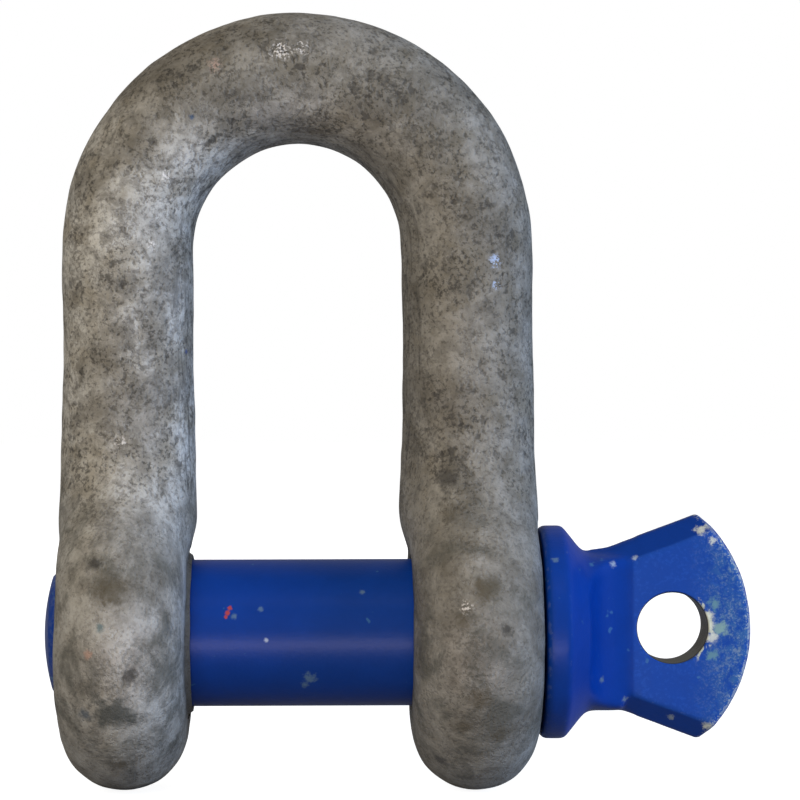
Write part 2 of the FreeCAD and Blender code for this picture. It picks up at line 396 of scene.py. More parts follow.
class Board:
    """A node tree, with short ways to fill it."""

    def __init__(self, tree: bpy.types.NodeTree) -> None:
        """Takes the tree that is filled."""
        self.tree = tree

    def add(self, kind: str, **settings: object) -> bpy.types.Node:
        """Adds a node.

        Args:
            kind: The node's type, without its ShaderNode prefix.
            settings: Values for the node's own properties.

        Returns:
            The node.
        """
        node = self.tree.nodes.new("ShaderNode" + kind)
        for name, value in settings.items():
            setattr(node, name, value)
        return node

    def feed(self, socket: Socket, source: Source) -> None:
        """Links a socket to another one, or sets its value.

        Args:
            socket: The input that is fed.
            source: A socket, a number, a vector or a colour.
        """
        if isinstance(source, Socket):
            self.tree.links.new(source, socket)
        elif isinstance(source, (int, float)):
            socket.default_value = source
        else:
            values = tuple(source)
            missing = len(socket.default_value) - len(values)
            socket.default_value = values + (1.0,) * missing

    def math(self, operation: str, *sources: Source) -> Socket:
        """Works a number out from others.

        Args:
            operation: The sum, by its name in the Math node.
            sources: Its terms, in order.

        Returns:
            The socket of the result.
        """
        node = self.add("Math", operation=operation)
        for socket, source in zip(node.inputs, sources):
            self.feed(socket, source)
        return node.outputs[0]

    def times(self, *masks: Source) -> Socket:
        """Multiplies masks.

        Args:
            masks: Two or more masks or numbers.

        Returns:
            The socket of their product.
        """
        product = masks[0]
        for mask in masks[1:]:
            product = self.math("MULTIPLY", product, mask)
        return product

    def most(self, *masks: Source) -> Socket:
        """Takes the strongest of several masks.

        Args:
            masks: Two or more masks or numbers.

        Returns:
            The socket of the largest.
        """
        largest = masks[0]
        for mask in masks[1:]:
            largest = self.math("MAXIMUM", largest, mask)
        return largest

    def far(self, one: Source, other: Source) -> Socket:
        """Works out a distance from its two parts, which stand square to each other.

        Args:
            one: The first part.
            other: The second part.

        Returns:
            The socket of the distance.
        """
        squares = self.math("MULTIPLY_ADD", one, one, self.math("MULTIPLY", other, other))
        return self.math("SQRT", squares)

    def step(self, value: Source, low: Source, high: Source) -> Socket:
        """Makes a soft step, which falls instead of rising if low is the larger.

        Args:
            value: The number that is judged.
            low: Where the step is 0.
            high: Where it is 1.

        Returns:
            The socket of the step.
        """
        node = self.add("MapRange", interpolation_type="SMOOTHSTEP")
        for name, source in (("Value", value), ("From Min", low), ("From Max", high)):
            self.feed(node.inputs[name], source)
        return node.outputs["Result"]

    def mix(self, mask: Source, below: Source, above: Source) -> Socket:
        """Lays one colour over another.

        Args:
            mask: Where the upper colour covers, from 0 to 1.
            below: The lower colour.
            above: The upper colour.

        Returns:
            The socket of the mixed colour.
        """
        node = self.add("Mix", data_type="RGBA")
        for index, source in ((0, mask), (6, below), (7, above)):
            self.feed(node.inputs[index], source)
        return node.outputs[2]

    def blend(self, mask: Source, below: Source, above: Source) -> Socket:
        """Goes from one number to another.

        Args:
            mask: How far it has gone, from 0 to 1.
            below: The number at 0.
            above: The number at 1.

        Returns:
            The socket of the number between them.
        """
        node = self.add("Mix", data_type="FLOAT")
        for index, source in ((0, mask), (2, below), (3, above)):
            self.feed(node.inputs[index], source)
        return node.outputs[0]

    def cloud(
        self, vector: Source, scale: Source, detail: float, roughness: float,
        distortion: float = 0.0,
    ) -> Socket:
        """Makes a noise pattern.

        Args:
            vector: The coordinates that it is read at.
            scale: How fine it is.
            detail: How many finer layers it has.
            roughness: How strong the finer layers are.
            distortion: How far it is stirred.

        Returns:
            The socket of the pattern, from 0 to 1.
        """
        node = self.add("TexNoise")
        for name, source in (
            ("Vector", vector), ("Scale", scale), ("Detail", detail), ("Roughness", roughness),
            ("Distortion", distortion),
        ):
            self.feed(node.inputs[name], source)
        return node.outputs["Fac"]

    def parts(self, vector: Socket) -> tuple[Socket, Socket, Socket]:
        """Splits a vector.

        Args:
            vector: The socket of the vector.

        Returns:
            The sockets of its x, y and z.
        """
        node = self.add("SeparateXYZ")
        self.feed(node.inputs[0], vector)
        return tuple(node.outputs)

    def bump(self, relief: Socket, strength: float, height: float) -> Socket:
        """Turns a relief into normals.

        Args:
            relief: The relief, from 0 to 1.
            strength: How strongly it shows.
            height: How high 1 stands.

        Returns:
            The socket of the normals.
        """
        node = self.add("Bump")
        for name, source in (("Height", relief), ("Strength", strength), ("Distance", height)):
            self.feed(node.inputs[name], source)
        return node.outputs["Normal"]

    def call(self, group: bpy.types.NodeTree, **values: Source) -> Socket:
        """Places a node group and feeds it.

        Args:
            group: The group.
            values: Its inputs, by name.

        Returns:
            The group's first output.
        """
        node = self.add("Group")
        node.node_tree = group
        for name, source in values.items():
            self.feed(node.inputs[name], source)
        return node.outputs[0]


class Effects:
    """The surface effects that both finishes share, each one node group."""

    def __init__(self) -> None:
        """Builds every group once."""
        self.patches = self._patches()
        self.specks = self._specks()
        self.grain = self._grain()
        self.worn = self._worn()
        self.spot = self._spot()

    @staticmethod
    def _start(name: str, output: str, *numbers: str) -> tuple[Board, dict[str, Socket], Socket]:
        """Starts a group that reads coordinates and gives one number.

        Args:
            name: The group's name.
            output: The name of its output.
            numbers: The names of its inputs that are numbers, after Vector. Centre is a vector too.

        Returns:
            The group's board, its input sockets by name, and the socket that takes its result.
        """
        tree = bpy.data.node_groups.new(name, "ShaderNodeTree")
        inputs = ("Vector",) + numbers
        for socket in inputs:
            kind = "NodeSocketVector" if socket in ("Vector", "Centre") else "NodeSocketFloat"
            tree.interface.new_socket(socket, in_out="INPUT", socket_type=kind)
        tree.interface.new_socket(output, in_out="OUTPUT", socket_type="NodeSocketFloat")
        given = tree.nodes.new("NodeGroupInput")
        result = tree.nodes.new("NodeGroupOutput")
        sockets = {socket: given.outputs[socket] for socket in inputs}
        return Board(tree), sockets, result.inputs[output]

    def _patches(self) -> bpy.types.NodeTree:
        """Makes broad soft patches, as on weathered metal or handled paint.

        Returns:
            The group, whose inputs are Scale, Edge (the noise level at a patch's edge) and Spread
            (how soft the edge is).
        """
        board, given, result = self._start("soft_patches", "Mask", "Scale", "Edge", "Spread")
        cloud = board.cloud(given["Vector"], given["Scale"], 9.0, 0.70, 0.5)
        low = board.math("SUBTRACT", given["Edge"], given["Spread"])
        high = board.math("ADD", given["Edge"], given["Spread"])
        board.feed(result, board.step(cloud, low, high))
        return board.tree

    def _specks(self) -> bpy.types.NodeTree:
        """Makes small scattered marks, as pits or flecks, which are thicker in some places.

        Returns:
            The group, whose inputs are Scale, Cover (how much they cover) and Spread (how soft
            their edges are).
        """
        thinning_scale = 0.16
        thinning_depth = 0.35
        board, given, result = self._start("specks", "Mask", "Scale", "Cover", "Spread")
        cloud = board.cloud(given["Vector"], given["Scale"], 2.0, 0.65)
        broad = board.math("MULTIPLY", given["Scale"], thinning_scale)
        thin = board.cloud(given["Vector"], broad, 2.0, 0.5)
        level = board.math("MULTIPLY_ADD", board.math("SUBTRACT", thin, 0.5), thinning_depth, cloud)
        edge = board.math("SUBTRACT", 1.0, given["Cover"])
        board.feed(result, board.step(level, edge, board.math("ADD", edge, given["Spread"])))
        return board.tree

    def _grain(self) -> bpy.types.NodeTree:
        """Makes the fine unevenness of a dipped or brushed coat.

        Returns:
            The group, which gives a height. Its inputs are Scale and Fine (how much of the height
            is in the finer layer).
        """
        finer = 4.0
        board, given, result = self._start("coat_grain", "Height", "Scale", "Fine")
        broad = board.cloud(given["Vector"], given["Scale"], 4.0, 0.6)
        fine = board.cloud(given["Vector"], board.math("MULTIPLY", given["Scale"], finer), 2.0, 0.5)
        board.feed(result, board.blend(given["Fine"], broad, fine))
        return board.tree

    def _worn(self) -> bpy.types.NodeTree:
        """Makes the places where a coat has rubbed through along an edge, broken up by noise.

        Returns:
            The group, whose inputs are Edge (the piece's own edge attribute), Scale and Amount.
        """
        through = 1.0
        soft = 0.12
        board, given, result = self._start("edge_wear", "Mask", "Edge", "Scale", "Amount")
        ragged = board.cloud(given["Vector"], given["Scale"], 4.0, 0.65)
        reach = board.math("MULTIPLY", given["Edge"], given["Amount"])
        level = board.math("ADD", reach, ragged)
        board.feed(result, board.step(level, through, through + soft))
        return board.tree

    def _spot(self) -> bpy.types.NodeTree:
        """Makes one ragged mark round a place on the surface.

        Returns:
            The group, whose inputs are Centre, Radius, Ragged (how uneven the outline is) and Soft
            (how gently it fades).
        """
        lobes = 1.6
        board, given, result = self._start("spot", "Mask", "Centre", "Radius", "Ragged", "Soft")
        offset = board.add("VectorMath", operation="SUBTRACT")
        board.feed(offset.inputs[0], given["Vector"])
        board.feed(offset.inputs[1], given["Centre"])
        length = board.add("VectorMath", operation="LENGTH")
        board.feed(length.inputs[0], offset.outputs[0])
        share = board.math("DIVIDE", length.outputs["Value"], given["Radius"])
        cloud = board.cloud(given["Vector"], board.math("DIVIDE", lobes, given["Radius"]), 4.0, 0.7)
        shift = board.math("MULTIPLY", board.math("SUBTRACT", cloud, 0.5), given["Ragged"])
        full = board.math("SUBTRACT", 1.0, given["Soft"])
        board.feed(result, board.step(board.math("ADD", share, shift), 1.0, full))
        return board.tree


@dataclass(frozen=True)
class Mark:
    """One mark on the front of a piece: a chip, a scrape, a smudge or a painted glint.

    Args:
        along: Where its middle is along the pin, in millimetres.
        up: How high its middle is, in millimetres.
        radius: How large it is, in millimetres.
        colour: Its colour.
        ragged: How uneven its outline is.
        soft: How gently it fades, from 0.1 for a chip to 1 for a stain.
        depth: How strongly it covers what is below.
    """

    along: float
    up: float
    radius: float
    colour: Colour
    ragged: float = 1.8
    soft: float = 0.8
    depth: float = 0.75

    def put(self, board: Board, effects: Effects, place: Socket, piece: bpy.types.Object) -> Socket:
        """Places the mark on the front surface of a piece.

        Args:
            board: The material's board.
            effects: The shared groups.
            place: The socket of the object's coordinates.
            piece: The piece that is marked.

        Returns:
            The socket of the mark's mask, from 0 to its depth.
        """
        start = Vector((self.along * MM, -IN_FRONT, self.up * MM))
        hit, centre, _, _ = piece.ray_cast(start, Vector((0, 1, 0)))
        if not hit:
            LOG.warning("a mark misses %s at %s, %s mm", piece.name, self.along, self.up)
        mask = board.call(
            effects.spot, Vector=place, Centre=centre, Radius=self.radius * MM, Ragged=self.ragged,
            Soft=self.soft,
        )
        return board.times(mask, self.depth)


# Colours of single marks.
BROWN = (0.095, 0.078, 0.050)
GREEN = (0.055, 0.058, 0.048)
SOOT = (0.040, 0.036, 0.030)
# Painted glint colour: a white highlight.
GLINT_WHITE = (0.85, 0.78, 0.70)
# Painted glint colour: a reflection of the blue light.
GLINT_SKY = (0.50, 0.60, 0.80)
ORANGE = (0.46, 0.055, 0.012)
CREAM = (0.70, 0.70, 0.55)
CHALK = (0.10, 0.17, 0.25)
TEAL = (0.07, 0.13, 0.14)
RUST = (0.40, 0.24, 0.17)
COLD_SOOT = (0.05, 0.07, 0.09)
INK = (0.02, 0.06, 0.13)
BLUE_INK = (0.01, 0.04, 0.16)
# Painted glint colour: a pink highlight.
GLINT_PINK = (0.45, 0.32, 0.26)
PALE = (0.45, 0.50, 0.62)
ASH = (0.30, 0.36, 0.44)
LIGHT_ASH = (0.35, 0.40, 0.46)
SEA = (0.26, 0.40, 0.32)
DEEP_SEA = (0.14, 0.28, 0.28)
SLATE = (0.12, 0.17, 0.20)
LIGHT_SLATE = (0.16, 0.20, 0.22)
GREY = (0.26, 0.30, 0.30)

# Single marks, placed one by one: along the pin, up, radius, colour, and how ragged and soft.
BOW_STAINS = (
    Mark(-34.5, 10.3, 4.8, BROWN, 2.4, 0.9, 0.85),
    Mark(-37.0, 15.0, 1.9, SOOT),
    Mark(-35.9, 3.5, 1.2, TEAL, 1.2),
    Mark(-38.1, -1.4, 1.2, RUST, 1.4),
    Mark(-30.5, -5.0, 2.0, SOOT),
    Mark(-33.4, -12.5, 5.4, GREEN, 2.6, 0.8, 0.9),
    Mark(-38.9, -12.6, 1.8, COLD_SOOT),
    Mark(-33.0, -22.6, 1.9, BROWN),
    Mark(34.3, 10.0, 3.6, BROWN, 2.2, 0.9, 0.9),
    Mark(30.2, 4.6, 2.3, BROWN, 2.2, 0.9),
    Mark(37.6, 3.0, 1.7, SOOT, 2.0),
    Mark(29.8, -15.0, 2.2, BROWN, 2.2, 0.9),
    Mark(32.8, -9.9, 3.0, BROWN, 1.8, 0.8, 0.9),
    Mark(26.2, -22.4, 2.3, SOOT),
    Mark(36.7, -16.7, 2.5, BROWN),
    Mark(27.4, 29.5, 3.4, SOOT, 2.4),
    Mark(-19.7, 97.6, 0.8, INK, 1.2),
    Mark(-21.2, 53.8, 0.7, BLUE_INK, 1.2),
)
# Painted glints: highlights and reflections laid into the zinc's colour.
BOW_GLINTS = (
    Mark(-2.8, 110.2, 2.9, GLINT_WHITE),
    Mark(0.8, 110.7, 2.3, GLINT_WHITE),
    Mark(-15.3, 107.4, 2.0, GLINT_PINK),
    Mark(-33.1, 36.6, 1.7, GLINT_WHITE),
    Mark(37.0, 70.3, 1.8, GLINT_SKY),
    Mark(37.3, 66.0, 1.3, GLINT_SKY),
    Mark(-24.8, 86.8, 1.5, GLINT_WHITE),
    Mark(-27.3, 73.7, 1.3, GLINT_WHITE),
    Mark(30.3, 7.0, 1.6, GLINT_WHITE),
)
PIN_CHIPS = (
    Mark(-12.9, 5.7, 0.55, ORANGE, 1.4, 0.6, 0.8),
    Mark(-13.3, 4.8, 0.60, ORANGE, 1.4, 0.6, 0.8),
    Mark(-13.6, 4.1, 0.45, ORANGE, 1.4, 0.6, 0.8),
    Mark(-12.1, 4.2, 0.8, CHALK, 1.4),
    Mark(-7.1, 5.5, 0.7, CHALK, 1.6),
    Mark(-6.1, -0.2, 0.6, PALE, 1.0),
    Mark(2.1, -7.5, 1.5, CHALK, 2.4),
    Mark(1.1, -8.9, 1.1, CHALK, 2.2),
    Mark(11.9, 8.5, 0.7, CHALK, 1.6),
    Mark(47.8, 14.6, 0.9, CHALK, 1.8),
    Mark(59.6, 13.3, 0.9, ASH, 2.4),
    Mark(63.9, 14.3, 0.8, LIGHT_ASH, 2.2),
    Mark(76.6, 19.6, 1.5, CREAM, 2.6),
    Mark(78.6, 17.6, 1.0, CREAM, 2.6),
    Mark(77.8, 3.2, 1.3, CREAM, 2.2),
    Mark(78.5, -0.8, 1.4, CREAM, 2.2),
    Mark(78.3, 1.4, 1.2, CREAM, 2.0),
    Mark(80.3, 1.0, 2.0, SEA, 2.6),
    Mark(78.9, 5.6, 1.5, DEEP_SEA, 2.6),
    Mark(78.5, -4.2, 1.4, DEEP_SEA, 2.6),
    Mark(57.2, -8.5, 0.8, SLATE, 2.4),
    Mark(61.9, -12.6, 0.9, LIGHT_SLATE, 2.6),
    Mark(70.8, -16.1, 0.9, GREY, 2.4),
    Mark(77.6, -17.8, 1.3, CREAM, 2.6),
)


def start_material(name: str) -> tuple[bpy.types.Material, Board, bpy.types.Node]:
    """Makes an empty material with its shader.

    Args:
        name: The material's name.

    Returns:
        The material, its board and its shader node.
    """
    material = bpy.data.materials.new(name)
    material.use_nodes = True
    board = Board(material.node_tree)
    return material, board, material.node_tree.nodes["Principled BSDF"]


@dataclass(frozen=True)
class WeatheredZinc:
    """Hot-dipped zinc that has weathered to a mottled, pitted grey.

    Args:
        pin_radius: Radius of the pin, round which the eyes' inner faces get painted shade.
        eye_in: Where the eyes' inner faces are.
        stains: Single smudges.
        glints: Painted glints: highlights laid into the colour in fine flecks.
        pale: The cleanest zinc.
        tan: Patches that have taken up dirt.
        dark_and_shade: The darkest patches, and painted shade on the inner side of the leg by the
            lug.
        pit_and_shade: The bottoms of the pits, and the painted shade round the pin.
        blotch: The large soft stains on the eyes.
        shade_brown: Painted shade: a brown film on the leg beside the lug, the crown and the eyes.
        eye_top: Height above which the bar's pitted skin is whole.
        eye_middle: Height below which the eyes' softer stains are whole.
        film_legs: Where the painted shade's film starts and is whole, along the pin.
        film_crown: Where the painted shade's film starts and is whole, in height.
        shade_reach: How far the painted shade spreads, out from the pin and into the eye.
        metallic: How much of the surface still shines as metal.
        relief: How high the grain and the pits stand.
    """

    pin_radius: float
    eye_in: float
    stains: tuple[Mark, ...]
    glints: tuple[Mark, ...]
    pale: Colour = (0.58, 0.55, 0.49)
    tan: Colour = (0.265, 0.228, 0.165)
    dark_and_shade: Colour = (0.105, 0.092, 0.070)
    pit_and_shade: Colour = (0.040, 0.036, 0.030)
    blotch: Colour = (0.075, 0.072, 0.056)
    shade_brown: Colour = (0.110, 0.090, 0.058)
    eye_top: float = 34 * MM
    eye_middle: float = 12 * MM
    film_legs: tuple[float, float] = (-14 * MM, 30 * MM)
    film_crown: tuple[float, float] = (84 * MM, 108 * MM)
    shade_reach: tuple[float, float] = (6 * MM, 3 * MM)
    metallic: float = 0.12
    relief: float = 0.4 * MM

    def build(self, effects: Effects, piece: bpy.types.Object) -> bpy.types.Material:
        """Makes the material.

        Args:
            effects: The shared groups.
            piece: The piece that the marks are on.

        Returns:
            The material.
        """
        material, board, shader = start_material("weathered_zinc")
        place = board.add("TexCoord").outputs["Object"]
        along, across, up = board.parts(place)
        eye = board.step(up, self.eye_top, self.eye_middle)
        bar = board.math("SUBTRACT", 1.0, eye)
        mottle = board.call(effects.patches, Vector=place, Scale=120.0, Edge=0.50, Spread=0.13)
        pits = board.call(effects.specks, Vector=place, Scale=1400.0, Cover=0.52, Spread=0.20)
        clusters = board.call(effects.specks, Vector=place, Scale=600.0, Cover=0.45, Spread=0.14)
        clusters = board.times(clusters, bar)

        colour = self.weathered(board, effects, place, mottle, eye, bar)
        density = board.blend(mottle, 0.50, 1.05)
        depth = board.blend(eye, 0.70, 0.38)
        colour = board.mix(board.times(pits, density, depth), colour, self.pit_and_shade)
        colour = board.mix(board.times(clusters, density, 0.66), colour, self.pit_and_shade)
        colour = self.handled(board, effects, place, eye, bar, colour)
        # Painted shade on the eyes' inner faces round the pin, where the pin passes through them.
        from_axis = board.far(across, up)
        from_middle = board.math("ABSOLUTE", along)
        out, into_eye = self.shade_reach
        painted_shade = board.times(
            board.step(from_axis, self.pin_radius + out, self.pin_radius + 1 * MM),
            board.step(from_middle, self.eye_in + into_eye, self.eye_in + 1 * MM),
        )
        colour = board.mix(board.times(painted_shade, 0.8), colour, self.pit_and_shade)
        for mark in self.stains:
            colour = board.mix(mark.put(board, effects, place, piece), colour, mark.colour)
        # Painted glints, in fine flecks.
        flecks = board.call(effects.specks, Vector=place, Scale=1900.0, Cover=0.50, Spread=0.10)
        for mark in self.glints:
            spot = mark.put(board, effects, place, piece)
            colour = board.mix(board.times(spot, flecks), colour, mark.colour)

        rough = board.blend(pits, board.blend(mottle, 0.50, 0.62), 0.78)
        grain = board.call(effects.grain, Vector=place, Scale=420.0, Fine=0.5)
        relief = board.math("MULTIPLY_ADD", pits, -0.30, grain)
        relief = board.math("MULTIPLY_ADD", clusters, -0.35, relief)
        board.feed(shader.inputs["Base Color"], colour)
        board.feed(shader.inputs["Roughness"], rough)
        board.feed(shader.inputs["Metallic"], self.metallic)
        board.feed(shader.inputs["Normal"], board.bump(relief, 0.6, self.relief))
        return material

    def weathered(
        self, board: Board, effects: Effects, place: Socket, mottle: Socket, eye: Socket,
        bar: Socket,
    ) -> Socket:
        """Lays the broad colours of the weathered skin and its painted shade, before its pits.

        Args:
            board: The material's board.
            effects: The shared groups.
            place: The socket of the object's coordinates.
            mottle: The mask of the broadest patches.
            eye: The mask of the eyes.
            bar: The mask of the bar.

        Returns:
            The socket of the colour.
        """
        along, _, up = board.parts(place)
        brown = board.call(effects.patches, Vector=place, Scale=58.0, Edge=0.55, Spread=0.12)
        fibres = board.call(effects.patches, Vector=place, Scale=360.0, Edge=0.53, Spread=0.09)
        frost = board.call(effects.patches, Vector=place, Scale=260.0, Edge=0.50, Spread=0.16)
        # Painted shade: a brown film darkens the leg beside the lug, the crown and the eyes.
        beside_lug = board.step(along, *self.film_legs)
        on_crown = board.step(up, *self.film_crown)
        film = board.most(beside_lug, on_crown, board.times(eye, 0.62))
        film = board.times(film, board.blend(brown, 0.70, 0.95))
        # Painted shade on the inner side of the leg beside the lug, in the darkest colour.
        shaded_side = board.times(self.inner_side(board), beside_lug, bar)

        colour = board.mix(board.times(mottle, board.blend(eye, 0.85, 0.45)), self.pale, self.tan)
        colour = board.mix(board.times(film, 0.92), colour, self.shade_brown)
        colour = board.mix(board.times(shaded_side, 0.5), colour, self.dark_and_shade)
        colour = board.mix(board.times(brown, 0.74), colour, self.dark_and_shade)
        colour = board.mix(board.times(fibres, board.blend(eye, 0.62, 0.42)), colour, self.dark_and_shade)
        return board.mix(board.times(frost, 0.16), colour, self.pale)

    def handled(
        self, board: Board, effects: Effects, place: Socket, eye: Socket, bar: Socket,
        colour: Socket,
    ) -> Socket:
        """Lays what use has left on the skin: streaks, stains on the eyes and rubbed edges.

        Args:
            board: The material's board.
            effects: The shared groups.
            place: The socket of the object's coordinates.
            eye: The mask of the eyes.
            bar: The mask of the bar.
            colour: The colour below.

        Returns:
            The socket of the colour.
        """
        flow = board.add("Attribute", attribute_name="flow").outputs["Vector"]
        edge = board.add("Attribute", attribute_name="edge").outputs["Fac"]
        streaks = board.call(effects.patches, Vector=flow, Scale=1.0, Edge=0.56, Spread=0.08)
        blotches = board.call(effects.patches, Vector=place, Scale=105.0, Edge=0.56, Spread=0.09)
        rubbed = board.call(effects.worn, Vector=place, Edge=edge, Scale=500.0, Amount=0.75)
        streaks = board.times(streaks, self.inner_side(board), bar)
        colour = board.mix(board.times(streaks, 0.7), colour, self.pit_and_shade)
        colour = board.mix(board.times(blotches, eye, 0.72), colour, self.blotch)
        return board.mix(board.times(rubbed, 0.25), colour, self.pale)

    @staticmethod
    def inner_side(board: Board) -> Socket:
        """Finds the side of the bar that faces into the bow.

        Args:
            board: The material's board.

        Returns:
            The socket of its mask.
        """
        flow = board.add("Attribute", attribute_name="flow").outputs["Vector"]
        return board.step(board.parts(flow)[2], -2.2, -3.7)


@dataclass(frozen=True)
class BluePaint:
    """Royal blue paint on steel, rubbed and chipped by use.

    Args:
        lug_tip: Where the lug ends along the pin.
        lug_face: Where the lug's flat faces start along the pin.
        lug_half: Half the lug's thickness.
        hole: The centre of the lug's hole, as (x, z).
        hole_radius: The hole's radius.
        end_x: Where the centre of the lug's rounded end is along the pin.
        chips: Single chips and specks.
        deep: Fresh paint.
        fresh: Paint that has kept its shine.
        faded: Paint that has been rubbed and handled.
        worn: The thin greenish film where paint has nearly gone.
        bare: Bright bare metal at a fresh chip.
        steel: Dark bare steel.
        tip_wear: How far from the lug's end the wear starts, and where it is whole.
        rim_width: How wide the worn rim of the lug's end is.
        hole_wear: How far round the hole the paint is rubbed.
        wall: Where the hole's bare wall starts and is whole, out from the hole's radius.
        specular: How strongly the paint's own surface shines.
        relief: How high the brush marks and the chips stand.
    """

    lug_tip: float
    lug_face: float
    lug_half: float
    hole: tuple[float, float]
    hole_radius: float
    end_x: float
    chips: tuple[Mark, ...]
    deep: Colour = (0.0006, 0.030, 0.205)
    fresh: Colour = (0.002, 0.045, 0.30)
    faded: Colour = (0.011, 0.068, 0.34)
    worn: Colour = (0.07, 0.20, 0.30)
    bare: Colour = (0.50, 0.52, 0.42)
    steel: Colour = (0.04, 0.04, 0.034)
    tip_wear: tuple[float, float] = (13 * MM, 1 * MM)
    rim_width: float = 2.4 * MM
    hole_wear: float = 2.2 * MM
    wall: tuple[float, float] = (0.22 * MM, 0.10 * MM)
    specular: float = 0.22
    relief: float = 0.15 * MM

    def build(self, effects: Effects, piece: bpy.types.Object) -> bpy.types.Material:
        """Makes the material.

        Args:
            effects: The shared groups.
            piece: The piece that the marks are on.

        Returns:
            The material.
        """
        material, board, shader = start_material("blue_paint")
        place = board.add("TexCoord").outputs["Object"]
        along, across, up = board.parts(place)
        hole_x = board.math("SUBTRACT", along, self.hole[0])
        hole_z = board.math("SUBTRACT", up, self.hole[1])
        from_hole = board.far(hole_x, hole_z)
        depth = board.math("ABSOLUTE", across)
        on_face = board.times(
            board.step(depth, self.lug_half - 0.5 * MM, self.lug_half - 0.15 * MM),
            board.step(along, self.lug_face - 0.4 * MM, self.lug_face + 0.4 * MM),
        )
        to_tip = board.step(along, self.lug_tip - self.tip_wear[0], self.lug_tip - self.tip_wear[1])
        mottle = board.call(effects.patches, Vector=place, Scale=420.0, Edge=0.5, Spread=0.12)
        crumbs = board.call(effects.specks, Vector=place, Scale=2400.0, Cover=0.52, Spread=0.18)

        colour = self.coat(board, effects, place, on_face, to_tip, mottle, crumbs)
        from_wall = board.math("SUBTRACT", from_hole, self.hole_radius)
        near_hole = board.step(from_wall, self.hole_wear, 0.0)
        toward_tip = board.step(hole_x, 3.0 * MM, 6.2 * MM)
        rub = board.step(board.math("ADD", board.times(near_hole, toward_tip), mottle), 1.15, 1.6)
        rim = self.lug_rim(board, along, hole_z)
        rim = board.step(board.math("ADD", rim, crumbs), 1.35, 1.75)
        edge = board.add("Attribute", attribute_name="edge").outputs["Fac"]
        chipped = board.call(effects.worn, Vector=place, Edge=edge, Scale=900.0, Amount=0.62)
        chipped = board.times(chipped, board.blend(to_tip, 0.06, 0.45))
        bare = board.most(rub, board.times(rim, 0.5), chipped)
        colour = board.mix(bare, colour, self.bare)
        for mark in self.chips:
            colour = board.mix(mark.put(board, effects, place, piece), colour, mark.colour)
        wall = board.times(
            board.step(from_wall, self.wall[0], self.wall[1]), board.step(hole_x, -8 * MM, -7 * MM),
        )
        colour = board.mix(wall, colour, self.steel)

        rough = board.blend(bare, board.blend(on_face, 0.36, 0.5), 0.45)
        grain = board.call(effects.grain, Vector=place, Scale=420.0, Fine=0.35)
        relief = board.math("MULTIPLY_ADD", bare, -0.8, grain)
        board.feed(shader.inputs["Base Color"], colour)
        board.feed(shader.inputs["Roughness"], rough)
        board.feed(shader.inputs["Metallic"], 0.0)
        board.feed(shader.inputs["Specular IOR Level"], self.specular)
        board.feed(shader.inputs["Normal"], board.bump(relief, 0.30, self.relief))
        return material

    def coat(
        self, board: Board, effects: Effects, place: Socket, on_face: Socket, to_tip: Socket,
        mottle: Socket, crumbs: Socket,
    ) -> Socket:
        """Lays the paint itself, from fresh on the shank to thin at the lug's end.

        Args:
            board: The material's board.
            effects: The shared groups.
            place: The socket of the object's coordinates.
            on_face: The mask of the lug's two faces.
            to_tip: The mask that grows towards the lug's end.
            mottle: The mask of the wear's patches.
            crumbs: The mask of the wear's finest specks.

        Returns:
            The socket of the colour.
        """
        patches = board.call(effects.patches, Vector=place, Scale=130.0, Edge=0.5, Spread=0.22)
        flecks = board.call(effects.specks, Vector=place, Scale=1500.0, Cover=0.50, Spread=0.22)
        scuffs = board.call(effects.specks, Vector=place, Scale=330.0, Cover=0.285, Spread=0.05)
        colour = board.mix(board.times(patches, 0.30), self.deep, self.fresh)
        faded = board.times(on_face, board.blend(flecks, 0.55, 0.95))
        colour = board.mix(faded, colour, self.faded)
        thin = board.times(on_face, to_tip, board.most(mottle, crumbs))
        colour = board.mix(board.times(thin, 0.42), colour, self.worn)
        colour = board.mix(board.times(scuffs, 0.4), colour, self.worn)
        return board.mix(board.times(on_face, to_tip, mottle, crumbs, 0.28), colour, self.bare)

    def lug_rim(self, board: Board, along: Socket, rise: Socket) -> Socket:
        """Finds the rim of the lug's rounded end.

        Args:
            board: The material's board.
            along: The socket of the place along the pin.
            rise: The socket of the height above the lug's middle.

        Returns:
            The socket of its mask.
        """
        end_radius = self.lug_tip - self.end_x
        to_edge = board.far(board.math("SUBTRACT", along, self.end_x), rise)
        rim = board.step(to_edge, end_radius - self.rim_width, end_radius)
        return board.times(rim, board.step(along, self.hole[0], self.hole[0] + 6 * MM))


# ---------------------------------------------------------------- the shackle


